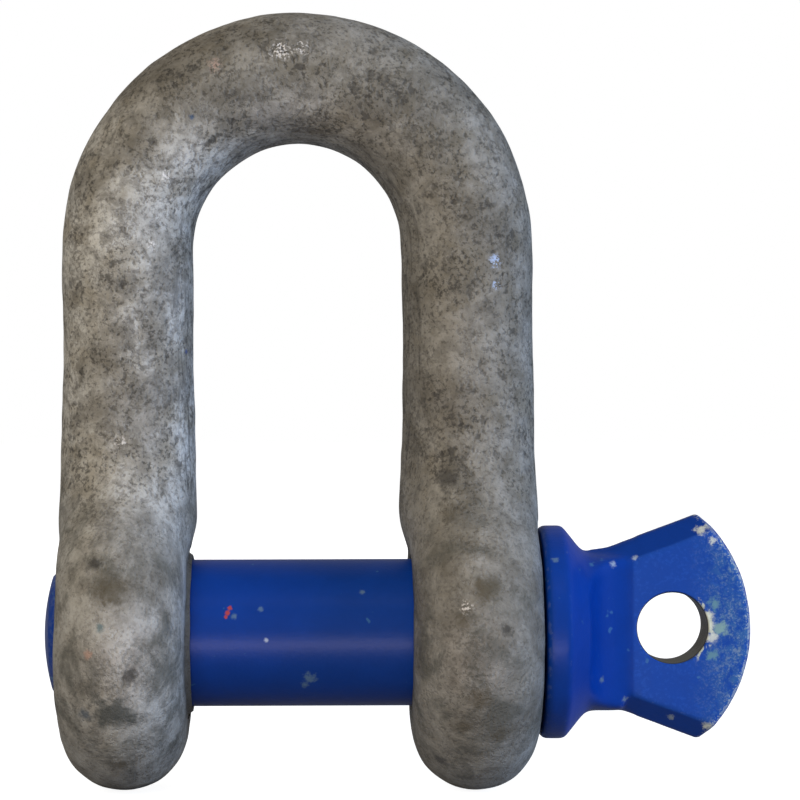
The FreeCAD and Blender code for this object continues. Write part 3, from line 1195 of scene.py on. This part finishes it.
@dataclass
class Thread:
    """The screw thread shared by the pin and the threaded eye.

    Args:
        pitch: Travel for one turn.
        crest: Radius at the top of the thread.
        depth: From the crest down to the root.
        crest_width: Width of the crest.
        root_flat: Flat left at the bottom of the groove.
        steps: Steps round one turn.
    """

    pitch: float = 3.0 * MM
    crest: float = 13.8 * MM
    depth: float = 1.8 * MM
    crest_width: float = 0.5 * MM
    root_flat: float = 0.7 * MM
    steps: int = 72

    @property
    def core(self) -> float:
        """Radius at the bottom of the thread."""
        return self.crest - self.depth

    def rod(
        self, name: str, x_from: float, x_to: float, looser: float = 0.0, wider: float = 0.0,
    ) -> bpy.types.Object:
        """A threaded rod with flat ends.

        Args:
            name: The object's name.
            x_from: Where it starts.
            x_to: Where it ends.
            looser: How much larger every radius is.
            wider: How much further out each flank stands.

        Returns:
            The rod.
        """
        spare_turns = 3
        turns = math.ceil((x_to - x_from) / self.pitch) + spare_turns
        start = x_from - spare_turns / 2 * self.pitch
        flank = (self.pitch - self.root_flat - self.crest_width) / 2
        root = self.root_flat / 2 - wider
        core = self.core + looser
        crest = self.crest + looser
        outline = [
            (0.0, core), (root, core), (root + flank, crest),
            (self.pitch - root - flank, crest), (self.pitch - root, core), (self.pitch, core),
        ]
        bm = bmesh.new()
        line = draw(bm, [Vector((start + x, 0, radius)) for x, radius in outline])
        sweep(
            bm, line, NO_SHIFT, ALONG_PIN, FULL_TURN * turns, self.steps * turns,
            advance=(self.pitch / self.steps, 0, 0),
        )
        bmesh.ops.remove_doubles(bm, verts=bm.verts, dist=MERGE)
        slice_off(bm, (x_from, 0, 0), (-1, 0, 0))
        slice_off(bm, (x_to, 0, 0), (1, 0, 0))
        clean(bm)
        return solid(name, bm)


def settle_in(
    piece: bpy.types.Object, material: bpy.types.Material, body: str, node: str,
) -> None:
    """Gives a finished piece its material and its place in the frame.

    Args:
        piece: The finished object.
        material: Its material.
        body: The body that it rides on.
        node: The node that it stands for.
    """
    piece.data.materials.clear()
    piece.data.materials.append(material)
    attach(piece, body)
    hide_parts(node)
    LOG.info("%s: %d faces on body %s, for %s", piece.name, len(piece.data.polygons), body, node)


@dataclass
class Bow:
    """The forged bow: a bent bar with an eye on each end, one plain and one threaded.

    Args:
        bar: Radius of the bar.
        bend: Radius of the bend, at the middle of the bar.
        crown_top: How high the crown stands above the pin's axis.
        eye_radius: Radius of an eye across the pin's axis.
        eye_in: Where the eyes' inner faces are.
        eye_out: Where their outer faces are.
        thread: The thread that one hole is cut for.
        foot_swell: How much thicker a leg is above its eye, in the plane of the bow.
        foot_inset: How far the foot stands inside the middle of its eye.
        side_blend: Radius of the fillet from the leg's side into the eye's edge.
        buried_share: The leg ends inside its eye, at this share of the eye's section.
        spot_face: Radius of the flat round each hole, inside.
        collar_seat: Radius of the flat that the pin's collar meets.
        bore: Radius of the plain hole.
        bore_edge: Size of the plain hole's chamfers.
        thread_room: Room round the thread.
        flank_room: Room beside each of its flanks.
        gate_room: How much wider than the thread its outer chamfer opens.
        mouth: Radius of the threaded hole's mouth.
        skin: Side of a face of the bow's skin.
        softening: How often the skin is relaxed.
        grow: How far the relaxed skin is let out again.
        lumps: How uneven it is.
        round_steps: Steps round the bar.
        bend_steps: Steps round half of the bend.
        leg_steps: Steps down the straight leg.
        foot_steps: Steps down the foot.
        rim_steps: Steps round an eye's rim.
        eye_steps: Steps round an eye and round a hole.
        sharp: The angle that counts as a full edge.
        smooth_below: The sharpest angle that is shaded smooth.
    """

    bar: float
    bend: float
    crown_top: float
    eye_radius: float
    eye_in: float
    eye_out: float
    thread: Thread
    foot_swell: float = 0.8 * MM
    foot_inset: float = 0.7 * MM
    side_blend: float = 30.0 * MM
    buried_share: float = 0.88
    spot_face: float = 16.5 * MM
    collar_seat: float = 22.0 * MM
    bore: float = 14.5 * MM
    bore_edge: float = 0.5 * MM
    thread_room: float = 0.3 * MM
    flank_room: float = 0.25 * MM
    gate_room: float = 0.6 * MM
    mouth: float = 14.5 * MM
    skin: float = 0.9 * MM
    softening: int = 26
    grow: float = 0.2 * MM
    lumps: Lumps = Lumps(0.35 * MM, 17 * MM, 0.10 * MM, 4 * MM)
    round_steps: int = 64
    bend_steps: int = 32
    leg_steps: int = 10
    foot_steps: int = 14
    rim_steps: int = 20
    eye_steps: int = 128
    sharp: float = 0.5
    smooth_below: float = math.radians(38)

    @property
    def bend_z(self) -> float:
        """Height of the bend's centre."""
        return self.crown_top - self.bend - self.bar

    @property
    def eye_mid(self) -> float:
        """Where the middle of an eye is along the pin."""
        return (self.eye_in + self.eye_out) / 2

    def leg_stations(self) -> list[tuple[float, float, float, float]]:
        """Works out levels down the leg.

        Returns:
            The x, the z, the half width along the pin and the half width across it of each.
        """
        reach = self.bar + self.side_blend
        blend_top = math.sqrt((self.eye_radius + self.side_blend) ** 2 - reach ** 2)
        blend_end = blend_top * self.eye_radius / (self.eye_radius + self.side_blend)
        levels = []
        for step in range(1, self.leg_steps):
            z = self.bend_z + (blend_top - self.bend_z) * step / self.leg_steps
            levels.append((self.bend, z, self.bar, self.bar))
        for step in range(self.foot_steps + 1):
            share = step / self.foot_steps
            z = blend_top + share * (blend_end - blend_top)
            x = self.bend + share * (self.eye_mid - self.foot_inset - self.bend)
            half_y = reach - math.sqrt(self.side_blend ** 2 - (blend_top - z) ** 2)
            levels.append((x, z, self.bar + share * self.foot_swell, half_y))
        buried_z = blend_end / 2
        half_y = self.buried_share * math.sqrt(self.eye_radius ** 2 - buried_z ** 2)
        half_x = self.buried_share * (self.eye_out - self.eye_in) / 2
        levels.append((self.eye_mid, buried_z, half_x, half_y))
        return levels

    def add_side(self, bm: bmesh.types.BMesh) -> None:
        """Adds half of the bend, a leg and an eye.

        Args:
            bm: The bmesh to add them to.
        """
        start = Matrix.Translation((self.bend, 0, self.bend_z))
        ring = bmesh.ops.create_circle(
            bm, segments=self.round_steps, radius=self.bar, matrix=start,
        )["verts"]
        edges = list({edge for vert in ring for edge in vert.link_edges})
        sweep(bm, ring + edges, (0, 0, self.bend_z), (0, -1, 0), QUARTER_TURN, self.bend_steps)
        x, z, half_x, half_y = self.bend, self.bend_z, self.bar, self.bar
        for new_x, new_z, new_half_x, new_half_y in self.leg_stations():
            grown = bmesh.ops.extrude_edge_only(bm, edges=edges)["geom"]
            verts = of_kind(grown, bmesh.types.BMVert)
            edges = of_kind(grown, bmesh.types.BMEdge)
            widening = (new_half_x / half_x, new_half_y / half_y, 1)
            bmesh.ops.scale(bm, verts=verts, vec=widening, space=Matrix.Translation((-x, 0, -z)))
            bmesh.ops.translate(bm, verts=verts, vec=(new_x - x, 0, new_z - z))
            x, z, half_x, half_y = new_x, new_z, new_half_x, new_half_y
        bmesh.ops.contextual_create(bm, geom=edges)

    def eye_profile(self) -> Profile:
        """Draws an eye: flat faces and a fully rounded rim.

        Returns:
            The outline.
        """
        rim = (self.eye_out - self.eye_in) / 2
        flat = self.eye_radius - rim
        arc = []
        for step in range(self.rim_steps + 1):
            turn = math.pi * step / self.rim_steps
            arc.append((self.eye_mid - rim * math.cos(turn), flat + rim * math.sin(turn)))
        return [(self.eye_in, 0.0)] + arc + [(self.eye_out, 0.0)]

    def hole_tool(self) -> bpy.types.Object:
        """Turns the tool that cuts both holes, without the thread.

        Returns:
            The tool.
        """
        pilot = self.thread.core + self.thread_room
        gate = self.thread.crest + self.thread_room + self.gate_room
        far = 2 * self.eye_out
        edge = self.bore_edge
        profile = [
            (-far, 0.0), (-far, gate), (-self.eye_out, gate),
            (-self.eye_out + gate - pilot, pilot),
            (-self.eye_in - (self.mouth - pilot), pilot),
            (-self.eye_in, self.mouth),
            (-self.eye_in, self.spot_face), (self.eye_in, self.spot_face),
            (self.eye_in, self.bore + edge), (self.eye_in + edge, self.bore),
            (self.eye_out - edge, self.bore), (self.eye_out, self.bore + edge),
            (self.eye_out, self.collar_seat), (far, self.collar_seat), (far, 0.0),
        ]
        bm = bmesh.new()
        turned(bm, profile, self.eye_steps)
        return solid("hole_tool", bm)

    def mark_flow(self, piece: bpy.types.Object) -> None:
        """Stores coordinates that run along and round the bar, as "flow", for streaks.

        They are long along the bar and short round it, so noise that reads them makes streaks. The
        third one grows outwards from the middle of the bar.

        Args:
            piece: The finished bow.
        """
        side_apart = 3
        along_scale, around_scale, inward_scale = 85, 8, 320
        values = []
        for vert in piece.data.vertices:
            x, y, z = vert.co
            rise = z - self.bend_z
            if rise > 0:
                along = self.bend * math.atan2(rise, abs(x))
                inward = math.hypot(x, rise) - self.bend
            else:
                along = rise
                inward = abs(x) - self.bend
            side = side_apart if x > 0 else -side_apart
            around = math.atan2(y, inward)
            values += [side + along * along_scale, around * around_scale, inward * inward_scale]
        layer = piece.data.attributes.new("flow", "FLOAT_VECTOR", "POINT")
        layer.data.foreach_set("vector", values)

    def build(self) -> bpy.types.Object:
        """Makes the bow's mesh.

        Returns:
            The bow.
        """
        bm = bmesh.new()
        self.add_side(bm)
        turned(bm, self.eye_profile(), self.eye_steps)
        everything = bm.verts[:] + bm.edges[:] + bm.faces[:]
        bmesh.ops.mirror(bm, geom=everything, matrix=Matrix.Identity(4), merge_dist=MERGE, axis="X")
        clean(bm)
        piece = solid("bow_forging", bm)
        voxel_skin(piece, self.skin)
        relax(piece, self.softening, -self.eye_out - self.bar, self.eye_out + self.bar)
        roughen(piece, self.grow, self.lumps)
        combine(piece, self.hole_tool(), Cut.REMOVE)
        tap = self.thread.rod(
            "tap", -self.eye_out - OVERRUN, -self.eye_in + OVERRUN, self.thread_room,
            self.flank_room,
        )
        combine(piece, tap, Cut.REMOVE)
        mark_edges(piece, self.sharp, 2)
        self.mark_flow(piece)
        shade_smooth(piece, self.smooth_below)
        return piece

    def finish(self, effects: Effects, piece: bpy.types.Object) -> bpy.types.Material:
        """Makes the weathered zinc that the bow and its lip share.

        Args:
            effects: The shared groups.
            piece: The finished bow.

        Returns:
            The material.
        """
        zinc = WeatheredZinc(
            pin_radius=SHANK, eye_in=self.eye_in, stains=BOW_STAINS, glints=BOW_GLINTS,
        )
        return zinc.build(effects, piece)

    def dress(self, piece: bpy.types.Object, zinc: bpy.types.Material) -> None:
        """Gives the finished bow its zinc and its place in the frame."""
        settle_in(piece, zinc, "bow", "bow_body")


@dataclass
class EyeLip:
    """The raised lip round the threaded hole.

    Args:
        foot_x: Where it stands on the eye.
        top_x: Where it ends.
        foot: Radius where it meets the eye.
        bore: Radius of its hole.
        top: Radius of its top.
        soft: Radius of its rounded edges.
        lumps: How uneven its top is.
        sunk: How far the uneven top is let down, so that none of it stands proud.
        round_steps: Steps round it.
        sharp: The angle that counts as a full edge.
        smooth_below: The sharpest angle that is shaded smooth.
    """

    foot_x: float
    top_x: float
    foot: float
    bore: float = 14.4 * MM
    top: float = 14.9 * MM
    soft: float = 0.22 * MM
    lumps: Lumps = Lumps(0.12 * MM, 5 * MM, 0.05 * MM, 1.6 * MM)
    sunk: float = 0.08 * MM
    round_steps: int = 160
    sharp: float = 0.5
    smooth_below: float = math.radians(50)

    def build(self) -> bpy.types.Object:
        """Makes the lip's mesh.

        Returns:
            The lip.
        """
        outline = [
            (self.foot_x, self.bore), (self.foot_x, self.foot), (self.top_x, self.top),
            (self.top_x, self.bore), (self.foot_x, self.bore),
        ]
        outline = rounded(rounded(outline, 3, self.soft), 2, self.soft)
        bm = bmesh.new()
        turned(bm, outline, self.round_steps)
        for vert in bm.verts:
            if vert.co.x > self.foot_x + self.soft:
                vert.co.x += self.lumps.at(vert.co) - self.sunk
        piece = solid("eye_lip_ring", bm)
        mark_edges(piece, self.sharp, 1)
        shade_smooth(piece, self.smooth_below)
        return piece

    def dress(self, piece: bpy.types.Object, zinc: bpy.types.Material) -> None:
        """Gives the finished lip the bow's zinc and its place in the frame."""
        settle_in(piece, zinc, "lip", "eye_lip")


@dataclass
class ScrewPin:
    """The pin: threaded end, smooth shank, collar, neck and flat lug.

    Args:
        tip: Where the threaded end stops, along the pin.
        collar_in: Where the collar's bearing face is.
        lug_tip: Where the lug ends.
        collar: Radius of the collar.
        lug_rise: How far the lug sits off the pin's axis.
        eye_in: Where the threaded eye starts, inside.
        thread: The thread.
        shank: Radius of the shank.
        shank_edge: How far the shank's end stands inside the threaded eye.
        shank_round: Radius of the shank's rounded end.
        end_radius: Radius of the dome on the threaded end.
        end_chamfer: Width of the chamfer round the dome.
        collar_thick: Thickness of the collar.
        collar_edge: Radius of its rounded edges.
        neck: Radius of the neck.
        neck_start: How far the neck starts from the collar's bearing face.
        neck_round: Radius of the fillet between the collar's cone and the neck.
        neck_short: How far the neck ends before the lug's flat faces.
        lug_half_height: Half the lug's height at its corners.
        lug_thick: Thickness of the lug.
        lug_root: How far the lug's flanks start from the collar's bearing face.
        lug_end: Radius of the lug's rounded end.
        side_blend: Radius of the hollows that thin the neck to the lug.
        flank: Size of the chamfers on the lug's flanks.
        end_edge: Size of the rounded edges on its end.
        hole: Radius of the lug's hole.
        hole_to_tip: How far the hole is from the lug's end.
        hole_edge: Size of the hole's chamfers.
        skin: Side of a face of the head's skin.
        grow: How far the relaxed skin is let out again.
        lumps: How uneven it is.
        round_steps: Steps round the collar and the shank.
        dome_steps: Steps from the dome's middle to its rim.
        sharp: The angle that counts as a full edge.
        smooth_below: The sharpest angle that is shaded smooth.
    """

    tip: float
    collar_in: float
    lug_tip: float
    collar: float
    lug_rise: float
    eye_in: float
    thread: Thread
    shank: float = SHANK
    shank_edge: float = 0.4 * MM
    shank_round: float = 0.5 * MM
    end_radius: float = 38.0 * MM
    end_chamfer: float = 2.8 * MM
    collar_thick: float = 4.4 * MM
    collar_edge: float = 1.2 * MM
    neck: float = 15.05 * MM
    neck_start: float = 8.7 * MM
    neck_round: float = 2.5 * MM
    neck_short: float = 1.8 * MM
    lug_half_height: float = 21.5 * MM
    lug_thick: float = 9.6 * MM
    lug_root: float = 13.0 * MM
    lug_end: float = 28.5 * MM
    side_blend: float = 9.0 * MM
    flank: float = 3.8 * MM
    end_edge: float = 1.0 * MM
    hole: float = 6.7 * MM
    hole_to_tip: float = 15.0 * MM
    hole_edge: float = 0.35 * MM
    skin: float = 0.42 * MM
    grow: float = 0.03 * MM
    lumps: Lumps = Lumps(0.10 * MM, 11 * MM, 0.04 * MM, 3 * MM)
    round_steps: int = 160
    dome_steps: int = 10
    sharp: float = 0.30
    smooth_below: float = math.radians(40)

    @property
    def hole_x(self) -> float:
        """Where the lug's hole is, along the pin."""
        return self.lug_tip - self.hole_to_tip

    @property
    def face_x(self) -> float:
        """Where the lug's flat faces start, along the pin."""
        return self.collar_in + self.neck_start + self.side_blend

    @property
    def end_x(self) -> float:
        """Where the centre of the lug's rounded end is, along the pin."""
        return self.lug_tip - self.lug_end

    @property
    def runout(self) -> float:
        """Where the thread runs out into the shank's sloping end, along the pin."""
        return -self.eye_in + self.shank_edge - (self.shank - self.thread.core)

    def collar_and_neck(self) -> bpy.types.Object:
        """Turns the round part of the head.

        Returns:
            The collar, its cone and the neck.
        """
        end = self.face_x - self.neck_short
        outer = self.collar_in + self.collar_thick
        profile = [
            (self.collar_in, 0.0), (self.collar_in, self.collar), (outer, self.collar),
            (self.collar_in + self.neck_start, self.neck), (end, self.neck), (end, 0.0),
        ]
        for corner, radius in ((3, self.neck_round), (2, self.collar_edge), (1, self.collar_edge)):
            profile = rounded(profile, corner, radius)
        bm = bmesh.new()
        turned(bm, profile, self.round_steps)
        return solid("head", bm)

    def lug_plate(self) -> bpy.types.Object:
        """Makes the flat lug, with chamfered flanks and a rounded end.

        Returns:
            The lug, without its hole.
        """
        root = self.collar_in + self.lug_root
        start = self.collar_in + self.collar_thick
        corner_x = self.end_x + math.sqrt(self.lug_end ** 2 - self.lug_half_height ** 2)
        swing = 2 * math.asin(self.lug_half_height / self.lug_end)
        half = self.lug_thick / 2
        bm = bmesh.new()
        corner = bm.verts.new((corner_x, -half, -self.lug_half_height))
        sweep(bm, [corner], (self.end_x, -half, 0), (0, -1, 0), swing, 28)
        arc = sorted(bm.verts, key=lambda vert: vert.co.z)
        rest = [(root, self.neck), (start, self.neck), (start, -self.neck), (root, -self.neck)]
        outline = [arc[-1]] + [bm.verts.new((x, -half, z)) for x, z in rest] + [arc[0]]
        raise_outline(bm, outline, (0, self.lug_thick, 0))
        clean(bm)

        flank = Vector((corner_x - root, 0, self.lug_half_height - self.neck)).normalized()
        for up, side in ((1, 1), (1, -1), (-1, 1), (-1, -1)):
            place = (root, side * (half - self.flank), up * self.neck)
            slice_off(bm, place, (-flank.z, side, up * flank.x))
        clean(bm)
        arcs = [edge for edge in bm.edges if self.on_end_arc(edge, corner_x)]
        bmesh.ops.bevel(
            bm, geom=arcs, offset=self.end_edge, offset_type="OFFSET", segments=3, profile=0.5,
            affect="EDGES", material=-1, clamp_overlap=False,
        )
        bmesh.ops.translate(bm, verts=bm.verts, vec=(0, 0, self.lug_rise))
        clean(bm)
        return solid("lug", bm)

    def on_end_arc(self, edge: bmesh.types.BMEdge, corner_x: float) -> bool:
        """Tells whether an edge of the lug lies along its rounded end, in one of its faces.

        Args:
            edge: The edge.
            corner_x: Where the lug's corners are, along the pin.

        Returns:
            Whether it does.
        """
        half = self.lug_thick / 2
        first, second = (vert.co for vert in edge.verts)
        in_face = abs(abs(first.y) - half) < MERGE and abs(abs(second.y) - half) < MERGE
        same_face = abs(first.y - second.y) < MERGE
        return in_face and same_face and min(first.x, second.x) > corner_x + MERGE

    def side_tool(self, side: int) -> bpy.types.Object:
        """Makes what is cleared from one side of the neck: a hollow, then the lug's flat face.

        Args:
            side: 1 for the side towards +Y, or -1.

        Returns:
            The tool.
        """
        start = self.collar_in + self.neck_start
        flat = self.lug_thick / 2
        centre_y = flat + self.side_blend
        far_x = 2 * self.lug_tip
        far_y = 2 * self.neck
        high = 3 * self.lug_half_height
        bm = bmesh.new()
        first = bm.verts.new((start, centre_y, -high))
        sweep(bm, [first], (start + self.side_blend, centre_y, 0), (0, 0, 1), QUARTER_TURN, 16)
        arc = sorted(bm.verts, key=lambda vert: vert.co.x)
        rest = [(far_x, flat), (far_x, far_y), (start, far_y)]
        outline = [arc[-1]] + [bm.verts.new((x, y, -high)) for x, y in rest] + [arc[0]]
        raise_outline(bm, outline, (0, 0, 2 * high))
        bmesh.ops.scale(bm, verts=bm.verts, vec=(1, side, 1))
        clean(bm)
        return solid("side_tool", bm)

    def hole_tool(self) -> bpy.types.Object:
        """Makes the tool that cuts the lug's hole, with its edges broken.

        Returns:
            The tool.
        """
        half = self.lug_thick / 2
        wide = self.hole + self.hole_edge
        profile = [
            (-2 * half, 0.0), (-2 * half, wide), (-half, wide), (-half + self.hole_edge, self.hole),
            (half - self.hole_edge, self.hole), (half, wide), (2 * half, wide), (2 * half, 0.0),
        ]
        bm = bmesh.new()
        turned(bm, profile, 96)
        place = Matrix.Translation((self.hole_x, 0, self.lug_rise))
        across = Matrix.Rotation(QUARTER_TURN, 4, "Z")
        bmesh.ops.transform(bm, verts=bm.verts, matrix=place @ across)
        return solid("lug_hole_tool", bm)

    def shank_solid(self) -> bpy.types.Object:
        """Turns the smooth shank, from the thread's run-out into the collar.

        Returns:
            The shank.
        """
        lap = 0.3 * MM
        start = -self.eye_in + self.shank_edge
        end = self.collar_in + OVERRUN
        profile = [
            (self.runout - lap, 0.0), (self.runout - lap, self.thread.core - lap),
            (self.runout, self.thread.core), (start, self.shank), (end, self.shank), (end, 0.0),
        ]
        profile = rounded(profile, 3, self.shank_round)
        bm = bmesh.new()
        turned(bm, profile, self.round_steps)
        return solid("shank", bm)

    def threaded_end(self) -> bpy.types.Object:
        """Makes the threaded end, with its dome and chamfer.

        Returns:
            The threaded end.
        """
        rod = self.thread.rod("threaded_end", self.tip - OVERRUN, self.runout)
        chamfer = self.thread.crest - self.end_chamfer
        centre = self.tip + self.end_radius
        open_angle = math.asin(chamfer / self.end_radius)
        dome = []
        for step in range(self.dome_steps + 1):
            turn = open_angle * step / self.dome_steps
            back, out = self.end_radius * math.cos(turn), self.end_radius * math.sin(turn)
            dome.append((centre - back, out))
        wide = self.thread.crest + 1 * MM
        profile = dome + [(dome[-1][0] + wide - chamfer, wide), (0.0, wide), (0.0, 0.0)]
        bm = bmesh.new()
        turned(bm, profile, 128)
        combine(rod, solid("envelope", bm), Cut.KEEP_SHARED)
        return rod

    def build(self) -> bpy.types.Object:
        """Makes the pin's mesh.

        Returns:
            The pin.
        """
        piece = self.collar_and_neck()
        combine(piece, self.side_tool(1), Cut.REMOVE)
        combine(piece, self.side_tool(-1), Cut.REMOVE)
        combine(piece, self.lug_plate(), Cut.JOIN)
        voxel_skin(piece, self.skin)
        relax(piece, 4, self.collar_in - self.collar_edge, self.lug_tip + self.end_edge)
        neck_from = self.collar_in + self.neck_start - self.neck_round
        relax(piece, 18, neck_from, self.face_x + 1 * MM)
        roughen(piece, self.grow, self.lumps)
        combine(piece, self.hole_tool(), Cut.REMOVE)
        combine(piece, self.shank_solid(), Cut.JOIN)
        combine(piece, self.threaded_end(), Cut.JOIN)
        piece.name = "screw_pin_forging"
        mark_edges(piece, self.sharp, 2)
        shade_smooth(piece, self.smooth_below)
        return piece

    def finish(self, effects: Effects, piece: bpy.types.Object) -> bpy.types.Material:
        """Makes the pin's paint.

        Args:
            effects: The shared groups.
            piece: The finished pin.

        Returns:
            The material.
        """
        paint = BluePaint(
            lug_tip=self.lug_tip, lug_face=self.face_x, lug_half=self.lug_thick / 2,
            hole=(self.hole_x, self.lug_rise), hole_radius=self.hole, end_x=self.end_x,
            chips=PIN_CHIPS,
        )
        return paint.build(effects, piece)

    def dress(self, piece: bpy.types.Object, paint: bpy.types.Material) -> None:
        """Gives the finished pin its paint and its place in the frame."""
        settle_in(piece, paint, "pin", "screw_pin")


# ---------------------------------------------------------------- the studio


class Part(Enum):
    """What a light takes part in."""

    ALL = "all"
    MATT = "matt"
    GLOSS = "gloss"


@dataclass(frozen=True)
class Softbox:
    """A soft area light.

    Args:
        name: The light's name.
        place: Where it stands.
        size: Its width and height.
        power: Its power, in watts.
        colour: Its colour.
        part: Whether it lights everything, only matt shading or only reflections.
    """

    name: str
    place: tuple[float, float, float]
    size: tuple[float, float]
    power: float
    colour: Colour
    part: Part

    def put(self, target: Vector) -> None:
        """Sets the light up.

        Args:
            target: The point that it is turned towards.
        """
        data = bpy.data.lights.new(self.name, "AREA")
        data.shape = "RECTANGLE"
        data.size, data.size_y = self.size
        data.energy = self.power
        data.color = self.colour
        lamp = bpy.data.objects.new(self.name, data)
        lamp.location = self.place
        lamp.rotation_euler = (target - Vector(self.place)).to_track_quat("-Z", "Y").to_euler()
        lamp.visible_camera = False
        lamp.visible_glossy = self.part is not Part.MATT
        lamp.visible_diffuse = self.part is not Part.GLOSS
        bpy.context.scene.collection.objects.link(lamp)


@dataclass
class Studio:
    """The pale floor, the lights and the camera.

    Args:
        floor_z: Height of the floor.
        target: What the lights are turned towards.
        floor_radius: Radius of the floor.
        floor_grey: How much light the floor throws back.
        floor_glow: How bright the floor is shown, apart from its own shading.
        room: Colour of the light that fills the room.
        room_power: Strength of that light.
        stand: Where the camera stands.
        lens: Its focal length, in millimetres.
        shift_x: How far its picture is shifted, as a share of its width.
        roll: How far it is turned about its own line of sight.
        lights: The lights.
    """

    floor_z: float
    target: Vector
    floor_radius: float = 4.0
    floor_grey: float = 0.34
    floor_glow: float = 0.93
    room: Colour = (1.0, 0.97, 0.93)
    room_power: float = 0.24
    stand: tuple[float, float, float] = (0.00167, -0.500, 0.04455)
    lens: float = 117.3
    shift_x: float = 0.1163
    roll: float = math.radians(-0.2)
    lights: tuple[Softbox, ...] = (
        Softbox("key", (-0.22, -0.85, 0.40), (0.50, 0.30), 6.4, (1.0, 0.94, 0.85), Part.MATT),
        Softbox("window", (1.20, -0.42, 0.20), (0.5, 1.0), 27.0, (0.40, 0.60, 1.0), Part.MATT),
        Softbox("rear", (-0.20, 0.80, 0.35), (0.8, 0.6), 3.2, (1.0, 0.98, 0.95), Part.MATT),
        Softbox("sheen", (0, -0.70, 0.30), (0.8, 0.4), 0.15, (1.0, 0.95, 0.92), Part.GLOSS),
        Softbox("upper_band", (0, -0.30, 0.40), (0.4, 0.08), 0.13, (0.9, 0.9, 1.0), Part.GLOSS),
        Softbox("lower_band", (0, -0.1, -0.023), (0.14, 0.01), 0.05, (1.0, 0.86, 0.95), Part.GLOSS),
    )

    def floor(self) -> None:
        """Lays the floor, which is shown near white whatever light falls on it."""
        bm = bmesh.new()
        bmesh.ops.create_circle(bm, cap_ends=True, segments=96, radius=self.floor_radius)
        bmesh.ops.translate(bm, verts=bm.verts, vec=(0, 0, self.floor_z))
        floor = solid("studio_floor", bm)
        material, board, shader = start_material("pale_floor")
        board.feed(shader.inputs["Base Color"], (self.floor_grey,) * 3)
        board.feed(shader.inputs["Roughness"], 0.9)
        glow = board.add("Emission")
        board.feed(glow.inputs["Color"], WHITE)
        board.feed(glow.inputs["Strength"], self.floor_glow)
        none = board.add("Emission")
        board.feed(none.inputs["Strength"], 0.0)
        both = board.add("AddShader")
        board.feed(both.inputs[0], shader.outputs[0])
        board.feed(both.inputs[1], self.to_camera(board, none, glow))
        board.feed(material.node_tree.nodes["Material Output"].inputs["Surface"], both.outputs[0])
        floor.data.materials.append(material)

    @staticmethod
    def to_camera(board: Board, lit: bpy.types.Node, shown: bpy.types.Node) -> Socket:
        """Picks one shader for light that falls on things and another for the camera's own view.

        Args:
            board: The board of the tree.
            lit: The shader that lights and reflects.
            shown: The shader that the camera sees.

        Returns:
            The socket of the shader that is picked.
        """
        pick = board.add("MixShader")
        board.feed(pick.inputs[0], board.add("LightPath").outputs["Is Camera Ray"])
        board.feed(pick.inputs[1], lit.outputs[0])
        board.feed(pick.inputs[2], shown.outputs[0])
        return pick.outputs[0]

    def world(self) -> None:
        """Fills the room with soft light, and shows it as white."""
        world = bpy.data.worlds.new("room")
        bpy.context.scene.world = world
        world.use_nodes = True
        board = Board(world.node_tree)
        world.node_tree.nodes.clear()
        shown = board.add("Background")
        board.feed(shown.inputs["Color"], WHITE)
        lit = board.add("Background")
        board.feed(lit.inputs["Color"], self.room)
        board.feed(lit.inputs["Strength"], self.room_power)
        output = board.add("OutputWorld")
        board.feed(output.inputs["Surface"], self.to_camera(board, lit, shown))

    def camera(self) -> None:
        """Stands the camera level with the legs, looking straight across the bow."""
        data = bpy.data.cameras.new("camera")
        data.lens = self.lens
        data.shift_x = self.shift_x
        data.clip_start = 10 * MM
        camera = bpy.data.objects.new("camera", data)
        camera.matrix_world = (
            Matrix.Translation(self.stand)
            @ Matrix.Rotation(QUARTER_TURN, 4, "X")
            @ Matrix.Rotation(self.roll, 4, "Z")
        )
        bpy.context.scene.collection.objects.link(camera)
        bpy.context.scene.camera = camera

    def build(self) -> None:
        """Sets up the whole studio."""
        self.floor()
        self.world()
        for light in self.lights:
            light.put(self.target)
        self.camera()
        bpy.context.scene.view_settings.view_transform = "Standard"


def main() -> None:
    """Builds the pieces in order, then the studio."""
    logging.basicConfig(level=logging.INFO, format="%(message)s")
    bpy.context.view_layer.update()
    bow_low, bow_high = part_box("bow_body")
    lip_low, lip_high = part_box("eye_lip")
    pin_low, pin_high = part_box("screw_pin")

    effects = Effects()
    thread = Thread()
    eye_in = -lip_low.x
    eye_out = eye_in + EYE_THICK
    bow = Bow(
        bar=12.5 * MM, bend=32.5 * MM, crown_top=bow_high.z, eye_radius=bow_high.y, eye_in=eye_in,
        eye_out=eye_out, thread=thread,
    )
    lip = EyeLip(foot_x=lip_low.x, top_x=lip_high.x, foot=lip_high.y)
    pin = ScrewPin(
        tip=pin_low.x, collar_in=eye_out + COLLAR_ROOM, lug_tip=pin_high.x, collar=pin_high.y,
        lug_rise=(pin_high.z + pin_low.z) / 2, eye_in=eye_in, thread=thread,
    )

    bow_piece = bow.build()
    lip_piece = lip.build()
    pin_piece = pin.build()
    bpy.context.view_layer.update()
    zinc = bow.finish(effects, bow_piece)
    paint = pin.finish(effects, pin_piece)
    bow.dress(bow_piece, zinc)
    lip.dress(lip_piece, zinc)
    pin.dress(pin_piece, paint)
    Studio(floor_z=bow_low.z, target=Vector((0.012, 0, 0.045))).build()


if __name__ == "__main__":
    main()
